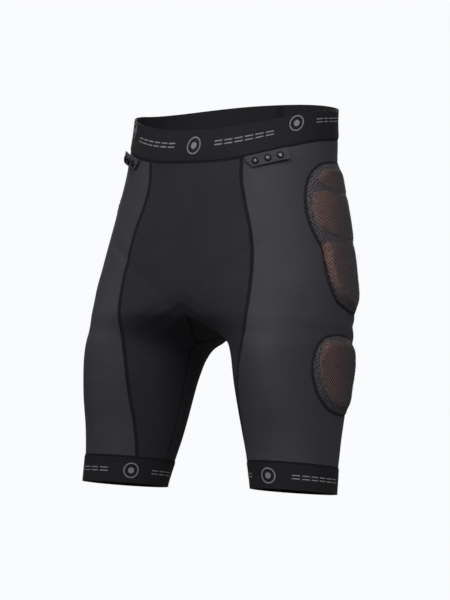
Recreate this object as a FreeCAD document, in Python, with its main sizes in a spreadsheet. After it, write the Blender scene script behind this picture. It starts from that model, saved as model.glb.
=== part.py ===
"""Padded impact shorts: a snug liner short with impact pads in sewn pockets at the hips and thighs.

Frame: millimetres, +Z up, the wearer faces -Y, the wearer's left is +X. The origin is on the level
that the two leg hems rest on, midway between the legs.

Every soft piece lies on one garment surface. At each height its outline is two ovals, one round each
leg, that melt into one round the body. A piece is a patch of that surface between two seam lines and
two heights, thickened along the surface's normal: two spline faces and the walls between them, sewn
into a solid. Pads, covers and bindings are cut from thickened patches with an outline's prism.
"""
import FreeCAD, Part
import math
import os
from FreeCAD import Placement, Rotation, Vector

doc = FreeCAD.newDocument("impact_shorts")

# --------------------------------------------------------------------------- driving dimensions

SIZES = {
    "side_height": 451.5,        # waist edge above the hems, at the side
    "waist_slope": 0.157,      # rise of the waist edge per mm towards the back
    "waist_curve": 0.0019,     # extra rise, growing with the square of the distance
    "waist_dip": 0.00065,      # how the edge sinks both ways from the side
    "waistband_height": 34,
    "legband_height": 30,
    "melt": 18,                # reach of the blend between the two legs' ovals
    "fabric": 1.0,             # knit and mesh panels
    "band_proud": 1.2,         # bands stand outside the panels' face
    "band_inset": 1.0,
    "sewn_gap": 0.1,           # between pieces that are sewn edge to edge
    "layer_gap": 0.05,         # between pieces that lie face to face
    "pocket_gap": 0.3,         # under the pockets' pads, covers and bindings
    "seam_gap": 0.16,          # under the sewn seams
    "pad_gap": 0.25,           # round the seat pad's layers
    "seam_width": 2.4,
    "seam_proud": 0.6,
    "tape_half_width": 5,
    "tape_thickness": 0.6,
    "pad_thickness": 6.0,
    "pad_inset": 5.0,          # pad edge inside the pocket outline
    "cover_thickness": 0.9,
    "cover_rim": 1.6,          # width of the cover's turned-down edge
    "binding_width": 3.0,
    "binding_proud": 2.2,
    "gripper_thickness": 0.8,
    "gripper_low": 5,
    "gripper_high": 23,
    "gusset_width": 33,        # half width, at the inner leg
    "gusset_front": 72,
    "gusset_back": 78,
    "seat_base_thickness": 2.5,
    "seat_insert_thickness": 4.5,
    "tab_radius": 180,
    "tab_length": 52,
    "tab_drop": 14,
    "tab_thickness": 1.6,
    "tab_corner": 6,
    "tab_standoff": 3.2,
    "tab_gap": 1.6,            # below the waistband
    "snap_count": 3,
    "snap_pitch": 15,
    "snap_radius": 4.0,
    "snap_height": 2.2,
    "snap_bore": 2.0,
    "snap_bore_depth": 1.2,
    "snap_groove": 2.7,
    "snap_groove_height": 0.6,
    "spring_wire": 0.25,
    "spring_radius": 2.4,
    "cap_radius": 3.6,
    "cap_height": 0.7,
    "label_width": 34,
    "label_length": 48,
    "label_thickness": 0.4,
    "label_side": 18,          # label's nearer edge from the middle of the back
    "label_depth": 90.5,
    "reach": 240,              # length of the cutting prisms
}

# height, outer edge, centre, inner edge, front depth and back depth of the left leg's oval
STATIONS = [
    (-20, 169, 124, 74, 59, 48),
    (0, 168, 123, 72, 61, 50),
    (35, 164.6, 121, 65, 65.9, 59.4),
    (65, 164.1, 119, 58, 72.7, 67.5),
    (95, 163.3, 119, 52, 83.3, 74.5),
    (125, 161.2, 117, 47, 93.1, 80.1),
    (150, 160.8, 113, 44, 98.5, 90.2),
    (165, 160.9, 108, 40, 99.8, 96.6),
    (176, 160.7, 102, 29, 99.6, 101),
    (186, 160.1, 96, 9, 101.1, 103.2),
    (200, 161.1, 86, -32, 103.2, 107.7),
    (225, 160.8, 72, -71, 101.6, 117),
    (260, 155.3, 58, -92, 98.5, 123.5),
    (325, 143, 40, -104, 95.1, 117.8),
    (385, 132.3, 28, -112, 93.6, 103),
    (420, 130.6, 22, -116, 85.5, 101.3),
    (450, 128.2, 20, -118, 83.5, 96.1),
    (510, 127.2, 20, -118, 80.3, 93.2),
]
COLUMNS = "DEFGHI"

sheet = doc.addObject("Spreadsheet::Sheet", "sizes")
for row, (name, value) in enumerate(SIZES.items(), start=1):
    sheet.set(f"A{row}", name)
    sheet.set(f"B{row}", str(value))
    sheet.setAlias(f"B{row}", name)
for row, station in enumerate(STATIONS, start=1):
    for column, value in zip(COLUMNS, station):
        sheet.set(f"{column}{row}", str(value))
doc.recompute()

NODES = []


def size(name):
    """Value of one named cell of the sheet."""
    return float(getattr(sheet, name))


def bind(obj, **cells):
    """Tie properties of an object to cells of the sheet."""
    for prop, cell in cells.items():
        obj.setExpression(prop, cell if "." in cell else f"sizes.{cell}")
    return obj


def node(obj, label):
    """Register an object as one sub-part; its label names the file."""
    obj.Label = label
    NODES.append(obj)
    return obj


# --------------------------------------------------------------------------- the garment surface

TABLE = [[float(sheet.get(f"{column}{row}")) for column in COLUMNS]
         for row in range(1, len(STATIONS) + 1)]
HEIGHTS = [row[0] for row in TABLE]


def tangents(column):
    """Slopes that keep a cubic through one column of the table free of overshoot."""
    steps = [(b[column] - a[column]) / (b[0] - a[0]) for a, b in zip(TABLE, TABLE[1:])]
    inner = [0.0 if a * b <= 0 else 2 * a * b / (a + b) for a, b in zip(steps, steps[1:])]
    return [steps[0]] + inner + [steps[-1]]


TANGENTS = [tangents(column) for column in range(1, len(COLUMNS))]


def oval(z):
    """Outer edge, centre, inner edge, front depth and back depth at a height."""
    z = min(max(z, HEIGHTS[0]), HEIGHTS[-1])
    i = 0
    while i < len(HEIGHTS) - 2 and HEIGHTS[i + 1] <= z:
        i += 1
    step = HEIGHTS[i + 1] - HEIGHTS[i]
    u = (z - HEIGHTS[i]) / step
    weights = ((1 + 2 * u) * (1 - u) ** 2, u * (1 - u) ** 2 * step,
               u * u * (3 - 2 * u), u * u * (u - 1) * step)
    return [weights[0] * TABLE[i][k + 1] + weights[1] * slope[i]
            + weights[2] * TABLE[i + 1][k + 1] + weights[3] * slope[i + 1]
            for k, slope in enumerate(TANGENTS)]


MELT = size("melt")


def outside(x, y, shape):
    """Signed distance, roughly, of a point from the blended outline at one height."""
    outer, centre, inner, front, back = shape
    depth = front if y < 0 else back

    def from_oval(across):
        offset = across - centre
        width = outer - centre if offset > 0 else centre - inner
        return (math.hypot(offset / width, y / depth) - 1) * min(width, depth)

    left, right = from_oval(x), from_oval(-x)
    near = max(MELT - abs(left - right), 0) / MELT
    return min(left, right) - near * near * MELT / 4


def solve(function, low, high):
    """Where a function that is positive at high changes sign."""
    for _ in range(32):
        middle = (low + high) / 2
        if function(middle) > 0:
            high = middle
        else:
            low = middle
    return (low + high) / 2


FLAT_BELOW, SLOPED_ABOVE = 40, 70


def ease(value, low, high):
    u = min(max((value - low) / (high - low), 0), 1)
    return u * u * (3 - 2 * u)


def normal(x, y, z):
    """Outward direction; it stays level near the hems, so that they end flat."""
    reach = 0.5
    here, below, above = oval(z), oval(z - reach), oval(z + reach)
    slope = Vector(outside(x + reach, y, here) - outside(x - reach, y, here),
                   outside(x, y + reach, here) - outside(x, y - reach, here),
                   (outside(x, y, above) - outside(x, y, below)) * ease(z, FLAT_BELOW, SLOPED_ABOVE))
    if abs(x) < 1e-6:
        slope.x = 0.0
    return slope.normalize()


def at_angle(z, angle):
    """Surface point seen from the leg's centre line; 0 is the outer side, 90 the back."""
    shape = oval(z)
    centre = shape[1]
    cosine, sine = math.cos(math.radians(angle)), math.sin(math.radians(angle))
    limit = 400.0 if cosine > -1e-6 else min(400.0, -centre / cosine)
    away = solve(lambda r: outside(centre + r * cosine, r * sine, shape), 2.0, limit)
    x = centre + away * cosine
    return Vector(0.0 if abs(x) < 1e-3 else x, away * sine, z)


def under(x, y):
    """Surface point of the crotch's underside below or above a point of the plan view."""
    z = solve(lambda level: outside(x, y, oval(level)), 262, 60)
    return Vector(x, y, z)


def angle_of(x, y, z):
    return math.degrees(math.atan2(y, x - oval(z)[1]))


def front_angle(x, z):
    """Angle of the surface point at a distance x from the middle, on the front."""
    shape = oval(z)
    return angle_of(x, -solve(lambda depth: outside(x, -depth, shape), 0, 200), z)


def back_angle(x, z):
    shape = oval(z)
    return angle_of(x, solve(lambda depth: outside(x, depth, shape), 0, 200), z)


# --------------------------------------------------------------------------- seam lines

# distance from the middle at each height, on the front and on the back
FRONT_SEAM = [(10, 80), (30, 79), (61, 77), (106, 78), (138, 82), (162, 86), (192, 89), (238, 88),
              (272, 84), (300, 78), (328, 69), (356, 63), (383, 63), (430, 63)]
REAR_SEAM = [(10, 126), (60, 126), (100, 126), (150, 124), (200, 118), (260, 104), (330, 88),
             (380, 74), (430, 66), (470, 62)]
FRONT_TWIST = 12           # the front panel hangs this far towards the wearer's left
TWIST_LOW, TWIST_HIGH = 90, 200


def read_line(points, z):
    """Smooth curve through (height, distance) points."""
    z = min(max(z, points[0][0]), points[-1][0])
    i = max(k for k in range(len(points) - 1) if points[k][0] <= z)
    steps = [(b[1] - a[1]) / (b[0] - a[0]) for a, b in zip(points, points[1:])]
    slopes = [steps[0]] + [(a + b) / 2 for a, b in zip(steps, steps[1:])] + [steps[-1]]
    span = points[i + 1][0] - points[i][0]
    u = (z - points[i][0]) / span
    return ((1 + 2 * u) * (1 - u) ** 2 * points[i][1] + u * (1 - u) ** 2 * span * slopes[i]
            + u * u * (3 - 2 * u) * points[i + 1][1] + u * u * (u - 1) * span * slopes[i + 1])


def front_seam(side):
    """Front seam's angle at a height, on the left (+1) or the right (-1) leg."""
    def angle(z):
        turn = ease(z, TWIST_LOW, TWIST_HIGH) * (1 - 0.4 * ease(z, 330, 400))
        return front_angle(read_line(FRONT_SEAM, z) + side * FRONT_TWIST * turn, z)
    return angle


def rear_seam(z):
    return back_angle(read_line(REAR_SEAM, z), z)


def centre_front(z):
    return front_angle(0, z)


def centre_back(z):
    return back_angle(0, z)


def in_gusset(x, y):
    """Below 1 inside the gusset's diamond on the plan view."""
    length = size("gusset_front") if y < 0 else size("gusset_back")
    return abs(x) / size("gusset_width") + abs(y) / length


def gusset_edge(side):
    """Angle where the gusset's edge, or the inseam below it, crosses a height."""
    def angle(z):
        tip = at_angle(z, 180)
        if in_gusset(tip.x, tip.y) >= 1:
            return side * 180
        far = centre_front(z) if side < 0 else centre_back(z)

        def beyond(turn):
            point = at_angle(z, side * turn)
            return 1 - in_gusset(point.x, point.y)
        return side * solve(beyond, 90, max(abs(far), 91))
    return angle


def gusset_shares(side, rows=12):
    """Even steps along the gusset's edge, from its side corner to a tip, as shares of height."""
    wide = size("gusset_width")
    length = size("gusset_front") if side < 0 else size("gusset_back")
    heights = [under(wide * (1 - k / rows), side * length * k / rows).z for k in range(rows + 1)]
    return [(z - heights[0]) / (heights[-1] - heights[0]) for z in heights]


def gusset_side():
    """Height of the gusset's corners at the inner legs."""
    return under(size("gusset_width"), 0).z


def gusset_tip(side):
    """Height where the gusset's front (-1) or back (+1) tip meets the middle line."""
    depth = -size("gusset_front") if side < 0 else size("gusset_back")
    return under(0, depth).z


# --------------------------------------------------------------------------- patches and layers

def waist_edge(y, drop=0.0):
    """Height of the waist's upper edge at a depth y, less a drop."""
    return (size("side_height") + size("waist_slope") * y + size("waist_curve") * y * abs(y)
            - size("waist_dip") * y * y - drop)


def waist(drop):
    return lambda y: waist_edge(y, drop)


def level(z):
    return lambda y: z


def patch(start, end, low, high, columns=12, rows=12):
    """Grid of surface points and normals between two angles and two heights.

    start and end give an angle for a height; low and high give a height for a depth y. rows is a
    number of even steps, or the rows' shares of the height.
    """
    shares = [j / rows for j in range(rows + 1)] if isinstance(rows, int) else rows
    grid = []
    for v in shares:
        line = []
        for i in range(columns + 1):
            u = i / columns
            z = low(0) * (1 - v) + high(0) * v
            for _ in range(5):
                point = at_angle(z, start(z) * (1 - u) + end(z) * u)
                previous, z = z, low(point.y) * (1 - v) + high(point.y) * v
                if abs(z - previous) < 1e-9:
                    break
            line.append((point, normal(point.x, point.y, point.z)))
        grid.append(line)
    return grid


def plan_patch(corner, columns=10, rows=12):
    """Grid over the crotch, from plan positions given by corner(u, v)."""
    grid = []
    for j in range(rows + 1):
        line = []
        for i in range(columns + 1):
            x, y = corner(i / columns, j / rows)
            point = under(x, y)
            line.append((point, normal(x, y, point.z)))
        grid.append(line)
    return grid


def flip(grid):
    """The same patch on the other leg."""
    return [[(Vector(-p.x, p.y, p.z), Vector(-n.x, n.y, n.z)) for p, n in line] for line in grid]


def spline_through(points):
    """Cubic spline with evenly spaced parameters, so that shared borders are the same curve."""
    curve = Part.BSplineCurve()
    last = len(points) - 1
    curve.interpolate(Points=points, Parameters=[k / last for k in range(last + 1)])
    return curve


def face_of(grid, grow):
    """Spline surface through a grid moved along its normals; u runs up the rows."""
    rows = [spline_through([point + direction * grow for point, direction in line])
            for line in grid]
    columns = [spline_through(list(poles)) for poles in zip(*[row.getPoles() for row in rows])]
    surface = Part.BSplineSurface()
    surface.buildFromPolesMultsKnots(
        [list(poles) for poles in zip(*[column.getPoles() for column in columns])],
        columns[0].getMultiplicities(), rows[0].getMultiplicities(),
        columns[0].getKnots(), rows[0].getKnots(), False, False, 3, 3)
    return surface


def edge_of(surface, side):
    """Boundary curve of a spline face: low and high are its first and last rows."""
    u0, u1, v0, v1 = surface.bounds()
    curve = {"low": lambda: surface.uIso(u0), "high": lambda: surface.uIso(u1),
             "start": lambda: surface.vIso(v0), "end": lambda: surface.vIso(v1)}[side]()
    return curve.toShape()


SEW_TOLERANCE = 0.03


def thicken(patches, low, high):
    """Solid between two growths of some patches; each comes with the sides that are free."""
    faces = []
    for grid, free in patches:
        outer, inner = face_of(grid, high), face_of(grid, low)
        faces += [outer.toShape(), inner.toShape()]
        for side in free.split():
            wires = [Part.Wire([edge_of(surface, side)]) for surface in (inner, outer)]
            faces += Part.makeLoft(wires, False, True).Faces
    sewn = Part.makeCompound(faces)
    sewn.sewShape(SEW_TOLERANCE)
    shell = sewn if sewn.ShapeType == "Shell" else sewn.Shells[0]
    solid = Part.makeSolid(shell)
    if solid.Volume < 0:
        solid.reverse()
    if not shell.isClosed():
        raise RuntimeError("a thickened patch did not close")
    return solid


ALL_SIDES = "low high start end"


def fabric(label, patches, low, high):
    """A soft sub-part made of patches of the garment surface."""
    obj = doc.addObject("Part::Feature", label)
    obj.Shape = thicken(patches, low, high)
    return node(obj, label)


def both_legs(name, grid, low, high, free=ALL_SIDES):
    fabric(name + "_left", [(grid, free)], low, high)
    fabric(name + "_right", [(flip(grid), free)], low, high)


# --------------------------------------------------------------------------- panels

def thigh_panels(seam, side, hem, tip):
    """Patches between a seam and the inseam, and above them up to the gusset's tip."""
    edge = gusset_edge(side)
    corner = level(gusset_side())
    return [(patch(seam, edge, hem, corner, 12, 16), "low start end"),
            (patch(seam, edge, corner, level(tip), 12, gusset_shares(side)), "start end")]


def make_panels():
    gap = size("sewn_gap")
    thick = size("fabric")
    hem = level(size("legband_height") + gap)
    top = waist(size("waistband_height") + gap)
    front_tip, back_tip = gusset_tip(-1), gusset_tip(1)
    front = []
    for side, name in ((1, "left"), (-1, "right")):
        turn = (lambda grid: grid) if side > 0 else flip
        seam = front_seam(side)
        outer = patch(seam, rear_seam, hem, top, 20, 36)
        fabric("side_panel_" + name, [(turn(outer), ALL_SIDES)], -thick, 0)
        belly = patch(seam, centre_front, level(front_tip), top, 12, 20)
        thigh = thigh_panels(seam, -1, hem, front_tip)
        belly[0] = thigh[1][0][-1]      # one and the same border, so that the two sew together
        front += [(turn(belly), "high start")] + [(turn(grid), free) for grid, free in thigh]
    fabric("front_panel", front, -thick, 0)
    seat = patch(rear_seam, centre_back, level(back_tip), top, 12, 20)
    thigh = thigh_panels(rear_seam, 1, hem, back_tip)
    seat[0] = thigh[1][0][-1]
    back = [(seat, "high start end")] + thigh
    for name, turn in (("left", lambda grid: grid), ("right", flip)):
        fabric("back_panel_" + name, [(turn(grid), free) for grid, free in back], -thick, 0)


def diamond(scale=1.0):
    """Corners of the gusset's plan outline: front, left, back and right."""
    wide = size("gusset_width") * scale
    return [(0, -size("gusset_front") * scale), (wide, 0), (0, size("gusset_back") * scale),
            (-wide, 0)]


def between(a, b, u):
    return (a[0] * (1 - u) + b[0] * u, a[1] * (1 - u) + b[1] * u)


def make_gusset():
    front, left, back, right = diamond(1 - size("sewn_gap") / size("gusset_width"))

    def corner(u, v):
        return between(between(front, left, u), between(right, back, u), v)
    fabric("crotch_gusset", [(plan_patch(corner, 12, 14), ALL_SIDES)], -size("fabric"), 0)


# --------------------------------------------------------------------------- bands

def round_body(low, high, rows=3):
    """Patches of the left and right halves of a ring round the body."""
    left = patch(centre_front, centre_back, low, high, 36, rows)
    return [(left, "low high"), (flip(left), "low high")]


def round_leg(low, high, rows=3):
    outer = patch(lambda z: -90, lambda z: 90, low, high, 18, rows)
    inner = patch(lambda z: 90, lambda z: 270, low, high, 18, rows)
    return [(outer, "low high"), (inner, "low high")]


def rings_on_legs(name, low, high, inside, outside_face, rows=3):
    ring = round_leg(low, high, rows)
    fabric(name + "_left", ring, inside, outside_face)
    fabric(name + "_right", [(flip(grid), free) for grid, free in ring], inside, outside_face)


def make_bands():
    height = size("waistband_height")
    inset = -size("band_inset")
    fabric("waistband", round_body(waist(height), waist(0)), inset, size("band_proud"))
    face = inset - size("layer_gap")
    width = size("tape_half_width")
    tape = patch(lambda z: back_angle(width, z), centre_back, waist(height - 2), waist(2), 3, 4)
    fabric("waistband_join_tape", [(tape, "low high start"), (flip(tape), "low high start")],
           face - size("tape_thickness"), face)
    rings_on_legs("leg_band", level(0), level(size("legband_height")), inset, size("band_proud"))
    rings_on_legs("gripper", level(size("gripper_low")), level(size("gripper_high")),
                  face - size("gripper_thickness"), face)


# --------------------------------------------------------------------------- sewn seams

def seam_strip(angle, low, high, half_width, rows=16):
    """Narrow patch centred on a seam line."""
    def edge(sign):
        def turned(z):
            point = at_angle(z, angle(z))
            away = math.hypot(point.x - oval(z)[1], point.y)
            return angle(z) + sign * math.degrees(half_width / away)
        return turned
    return patch(edge(-1), edge(1), low, high, 3, rows)


def make_seams():
    gap, half = size("sewn_gap"), size("seam_width") / 2
    floor, proud = size("seam_gap"), size("seam_proud")
    hem, height = size("legband_height"), size("waistband_height")
    low = level(hem + size("seam_width") + 2 * gap)
    top = waist(height + size("seam_width") + 2 * gap)
    for side, name in ((1, "left"), (-1, "right")):
        strip = seam_strip(front_seam(side), low, top, half, 36)
        fabric("front_seam_" + name, [(strip if side > 0 else flip(strip), ALL_SIDES)],
               floor, proud)
    both_legs("rear_seam", seam_strip(rear_seam, low, top, half, 36), floor, proud)
    middle = patch(lambda z: back_angle(half, z), centre_back,
                   level(gusset_tip(1) + size("seam_width")), top, 3, 20)
    free = "low high start"
    fabric("centre_back_seam", [(middle, free), (flip(middle), free)], floor, proud)
    inner_top = gusset_side() - size("seam_width")
    both_legs("inseam", seam_strip(lambda z: 180, low, level(inner_top), half, 12), floor, proud)
    ring = round_body(waist(height + size("seam_width") + gap), waist(height + gap))
    fabric("waist_seam", ring, floor, proud)
    rings_on_legs("hem_seam", level(hem + gap), level(hem + gap + size("seam_width")),
                  floor, proud)
    make_gusset_seam(half, floor, proud)


def make_gusset_seam(half, floor, proud):
    spread = half / size("gusset_width")
    inner, outer = diamond(1 - spread), diamond(1 + spread)
    strips = []
    for k in range(4):
        after = (k + 1) % 4

        def corner(u, v, k=k, after=after):
            return between(between(inner[k], inner[after], v), between(outer[k], outer[after], v), u)
        strips.append((plan_patch(corner, 3, 20), "start end"))
    fabric("gusset_seam", strips, floor, proud)


# --------------------------------------------------------------------------- impact pads

# pocket outlines on the side of the leg, as depth and height
HIP = [(40, 393), (-2, 389), (-24, 376), (-35, 354), (-38, 328), (-32, 303), (-21, 284),
       (-19, 262), (-14, 242), (0, 225), (36, 217), (60, 218), (74, 232), (78, 262), (75, 300),
       (74, 340), (66, 376)]
THIGH = [(34, 186), (0, 185), (-24, 178), (-36, 163), (-39, 144), (-35, 127), (-25, 110),
         (-8, 98), (14, 94), (44, 97), (59, 110), (66, 134), (66, 158), (56, 178)]


def inset_outline(points, distance):
    """Points of a closed outline moved inwards along the normals of their neighbours."""
    count = len(points)
    area = sum(points[k - 1][0] * points[k][1] - points[k][0] * points[k - 1][1]
               for k in range(count))
    turn = distance if area > 0 else -distance
    moved = []
    for k, (x, y) in enumerate(points):
        (x0, y0), (x1, y1) = points[k - 1], points[(k + 1) % count]
        length = math.hypot(x1 - x0, y1 - y0)
        moved.append((x - turn * (y1 - y0) / length, y + turn * (x1 - x0) / length))
    return moved


def side_prism(points):
    """An outline drawn on the side view, y to the right and z up, extruded along +X."""
    curve = Part.BSplineCurve()
    curve.interpolate(Points=[Vector(x, y, 0) for x, y in points], PeriodicFlag=True)
    sketch = doc.addObject("Sketcher::SketchObject", "outline")
    sketch.Placement = Placement(Vector(), Rotation(Vector(0, 1, 0), Vector(0, 0, 1),
                                                    Vector(1, 0, 0)))
    sketch.addGeometry(curve, False)
    solid = doc.addObject("Part::Extrusion", "prism")
    solid.Base = sketch
    solid.DirMode = "Custom"
    solid.Dir = Vector(1, 0, 0)
    solid.Solid = True
    return bind(solid, LengthFwd="reach")


def join(kind, base, tool):
    obj = doc.addObject("Part::" + kind, kind.lower())
    obj.Base = base
    obj.Tool = tool
    return obj


def slab(grid, low, high):
    """Thickened patch that pads and covers are cut from."""
    obj = doc.addObject("Part::Feature", "slab")
    obj.Shape = thicken([(grid, ALL_SIDES)], low, high)
    return obj


def mirrored(source):
    obj = doc.addObject("Part::Mirroring", "mirrored")
    obj.Source = source
    obj.Normal = Vector(1, 0, 0)
    return obj


POCKET_SPREAD = 12         # how far the slabs run past a pocket's outline, up and down
SLAB_FRONT, SLAB_BACK = -68, 84


def make_pocket(outline, name):
    """Pad, cover and binding of one pocket, on both legs."""
    floor = size("pocket_gap")
    pad_top = floor + size("pad_thickness")
    cover_in = pad_top + size("layer_gap")
    cover_out = cover_in + size("cover_thickness")
    rim = size("cover_rim")
    heights = [z for y, z in outline]
    grid = patch(lambda z: SLAB_FRONT, lambda z: SLAB_BACK, level(min(heights) - POCKET_SPREAD),
                 level(max(heights) + POCKET_SPREAD), 18, 18)
    pad = join("Common", slab(grid, floor, pad_top),
               side_prism(inset_outline(outline, size("pad_inset"))))
    shell = join("Common", slab(grid, floor, cover_out), side_prism(inset_outline(outline, rim)))
    hollow = join("Common", slab(grid, -floor, cover_in),
                  side_prism(inset_outline(outline, 2 * rim)))
    cover = join("Cut", shell, hollow)
    edge = rim - size("layer_gap")
    ring = join("Common", slab(grid, floor, size("binding_proud")),
                side_prism(inset_outline(outline, edge - size("binding_width"))))
    binding = join("Cut", ring, side_prism(inset_outline(outline, edge)))
    for piece, part in ((pad, "pad"), (cover, "cover"), (binding, "binding")):
        node(piece, f"{name}_{part}_left")
        node(mirrored(piece), f"{name}_{part}_right")


# --------------------------------------------------------------------------- seat pad

# half width of the seat pad at each depth, from front to back
SEAT_WIDTH = [(-64, 20), (-45, 27), (-16, 34), (10, 40), (40, 50), (62, 56), (80, 50)]
WING_EDGE, WING_FRONT, WING_BACK = 10, 16, 70
NOSE_WIDTH, NOSE_FRONT, NOSE_BACK = 15, -52, 8
SEAT_MARGIN = 9


def make_seat_pad():
    face = -size("fabric") - size("pad_gap")
    base_in = face - size("seat_base_thickness")
    insert_out = base_in - size("pad_gap")
    insert_in = insert_out - size("seat_insert_thickness")

    def base(u, v):
        y = SEAT_WIDTH[0][0] * (1 - v) + SEAT_WIDTH[-1][0] * v
        return ((2 * u - 1) * read_line(SEAT_WIDTH, y), y)

    def wing(u, v):
        y = WING_FRONT * (1 - v) + WING_BACK * v
        return (WING_EDGE * (1 - u) + (read_line(SEAT_WIDTH, y) - SEAT_MARGIN) * u, y)

    def nose(u, v):
        return ((2 * u - 1) * NOSE_WIDTH, NOSE_FRONT * (1 - v) + NOSE_BACK * v)

    fabric("seat_pad_base", [(plan_patch(base, 24, 28), ALL_SIDES)], base_in, face)
    both_legs("seat_pad_insert", plan_patch(wing, 12, 14), insert_in, insert_out)
    fabric("seat_pad_insert_front", [(plan_patch(nose, 8, 14), ALL_SIDES)], insert_in, insert_out)


# --------------------------------------------------------------------------- snap tabs

TAB_FRONT, TAB_SIDE = (73, -88), (117, -55)      # ends of the left tab on the plan view


def tab_frame():
    """Where the left tab sits: x along its sewn edge, y up, z away from the body."""
    (x0, y0), (x1, y1) = TAB_FRONT, TAB_SIDE
    drop = size("waistband_height") + size("tab_gap")
    along = Vector(x1 - x0, y1 - y0, waist_edge(y1) - waist_edge(y0)).normalize()
    middle_y = (y0 + y1) / 2
    height = waist_edge(middle_y, drop)
    point = at_angle(height, angle_of((x0 + x1) / 2, middle_y, height))
    away = Vector(y1 - y0, x0 - x1, 0).normalize()
    up = away.cross(along)
    return Placement(point + away * size("tab_standoff"), Rotation(along, up, away))


def plane(body, role):
    return next(item for item in body.Origin.OriginFeatures if item.Role == role)


def sketch_on(body, role, name):
    sketch = body.newObject("Sketcher::SketchObject", name)
    sketch.AttachmentSupport = [(plane(body, role), "")]
    sketch.MapMode = "FlatFace"
    return sketch


def tab_body(label, frame):
    """Curved strip that hangs from its sewn edge, with its front lower corner cut off."""
    body = doc.addObject("PartDesign::Body", label)
    radius, thick = size("tab_radius"), size("tab_thickness")
    half_angle = size("tab_length") / 2 / radius
    sketch = sketch_on(body, "XZ_Plane", "tab_profile")
    centre = Vector(0, -radius, 0)
    low, high = math.pi / 2 - half_angle, math.pi / 2 + half_angle
    ends = []
    for r in (radius, radius + thick):
        circle = Part.Circle(centre, Vector(0, 0, 1), r)
        sketch.addGeometry(Part.ArcOfCircle(circle, low, high), False)
        ends.append([centre + Vector(math.cos(a), math.sin(a), 0) * r for a in (low, high)])
    for inner, outer in zip(*ends):
        sketch.addGeometry(Part.LineSegment(inner, outer), False)
    doc.recompute()
    pad = body.newObject("PartDesign::Pad", "tab_strip")
    pad.Profile = sketch
    bind(pad, Length="tab_drop")
    doc.recompute()
    if pad.Shape.BoundBox.YMax > 1e-3:
        pad.Reversed = True
        doc.recompute()
    before = pad.Shape.Volume
    corner = sketch_on(body, "XY_Plane", "tab_corner_outline")
    left, drop, cut = -size("tab_length") / 2 - 1, -size("tab_drop") - 1, size("tab_corner") + 1
    points = [Vector(left, drop, 0), Vector(left + cut, drop, 0), Vector(left, drop + 1.6 * cut, 0)]
    for start, end in zip(points, points[1:] + points[:1]):
        corner.addGeometry(Part.LineSegment(start, end), False)
    doc.recompute()
    pocket = body.newObject("PartDesign::Pocket", "tab_corner_cut")
    pocket.Profile = corner
    pocket.Type = "ThroughAll"
    pocket.Midplane = True
    doc.recompute()
    if not before - 200 < pocket.Shape.Volume < before - 1:
        raise RuntimeError("the tab's corner cut removed nothing")
    body.Placement = frame
    return node(body, label)


def snap_places(frame, radius):
    """Placements of the snaps on the tab, their z along the tab's own normal."""
    places = []
    count = int(size("snap_count"))
    for k in range(count):
        turn = (k - (count - 1) / 2) * size("snap_pitch") / size("tab_radius")
        spot = Vector(radius * math.sin(turn), -size("tab_drop") / 2,
                      radius * math.cos(turn) - size("tab_radius"))
        places.append(frame.multiply(Placement(spot, Rotation(Vector(0, 1, 0),
                                                              math.degrees(turn)))))
    return places


def cylinder(radius, height, base=None):
    obj = doc.addObject("Part::Cylinder", "cylinder")
    bind(obj, Radius=radius, Height=height)
    if base:
        obj.setExpression("Placement.Base.z", base)
    return obj


def socket(place):
    """Snap socket: a disc with a mouth and, under it, the wider groove for its spring."""
    mouth = cylinder("snap_bore", "sizes.snap_bore_depth + 0.1",
                     "sizes.snap_height - sizes.snap_bore_depth")
    groove = cylinder("snap_groove", "snap_groove_height",
                      "sizes.snap_height - sizes.snap_bore_depth - sizes.snap_groove_height")
    body = join("Cut", join("Cut", cylinder("snap_radius", "snap_height"), mouth), groove)
    body.Placement = place
    return body


def spring(place):
    ring = doc.addObject("Part::Torus", "spring")
    bind(ring, Radius1="spring_radius", Radius2="spring_wire")
    lift = (size("snap_height") - size("snap_bore_depth") - size("snap_groove_height") / 2)
    ring.Placement = place.multiply(Placement(Vector(0, 0, lift), Rotation()))
    return ring


def cap(place):
    disc = cylinder("cap_radius", "cap_height")
    disc.Placement = place
    return disc


def group(label, items):
    obj = doc.addObject("Part::Compound", label)
    obj.Links = items
    return node(obj, label)


def make_tabs():
    frame = tab_frame()
    face = size("tab_radius") + size("tab_thickness")
    back = size("tab_radius") - size("cap_height") - 2 * size("layer_gap")
    left = [tab_body("snap_tab_left", frame),
            group("snap_sockets_left", [socket(place) for place in snap_places(frame, face)]),
            group("snap_springs_left", [spring(place) for place in snap_places(frame, face)]),
            group("snap_caps_left", [cap(place) for place in snap_places(frame, back)])]
    for piece in left:
        node(mirrored(piece), piece.Label.replace("left", "right"))


# --------------------------------------------------------------------------- care label

def make_label():
    """Blank label that hangs inside the back of the waist."""
    label = doc.addObject("Part::Box", "care_label")
    bind(label, Length="label_width", Width="label_thickness", Height="label_length")
    depth = size("label_depth")
    top = waist_edge(depth, size("waistband_height") + 3)
    label.Placement = Placement(Vector(size("label_side"), depth, top - size("label_length")),
                                Rotation())
    node(label, "care_label")


def build():
    make_panels()
    make_gusset()
    make_bands()
    make_seams()
    make_pocket(HIP, "hip")
    make_pocket(THIGH, "thigh")
    make_seat_pad()
    make_tabs()
    make_label()


def check_and_export():
    doc.recompute()
    for obj in doc.Objects:
        if "Invalid" in obj.State or "Error" in obj.State:
            raise RuntimeError(f"{obj.Label} failed: {obj.State}")
    os.makedirs("parts", exist_ok=True)
    for obj in NODES:
        shape = obj.Shape
        print(obj.Label, "solids", len(shape.Solids), "volume", round(shape.Volume),
              "valid", shape.isValid())
        if shape.isNull() or not shape.isValid():
            raise RuntimeError(obj.Label + " has no valid shape")
        shape.exportStep(os.path.join("parts", obj.Label + ".step"))


build()
check_and_export()
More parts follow.
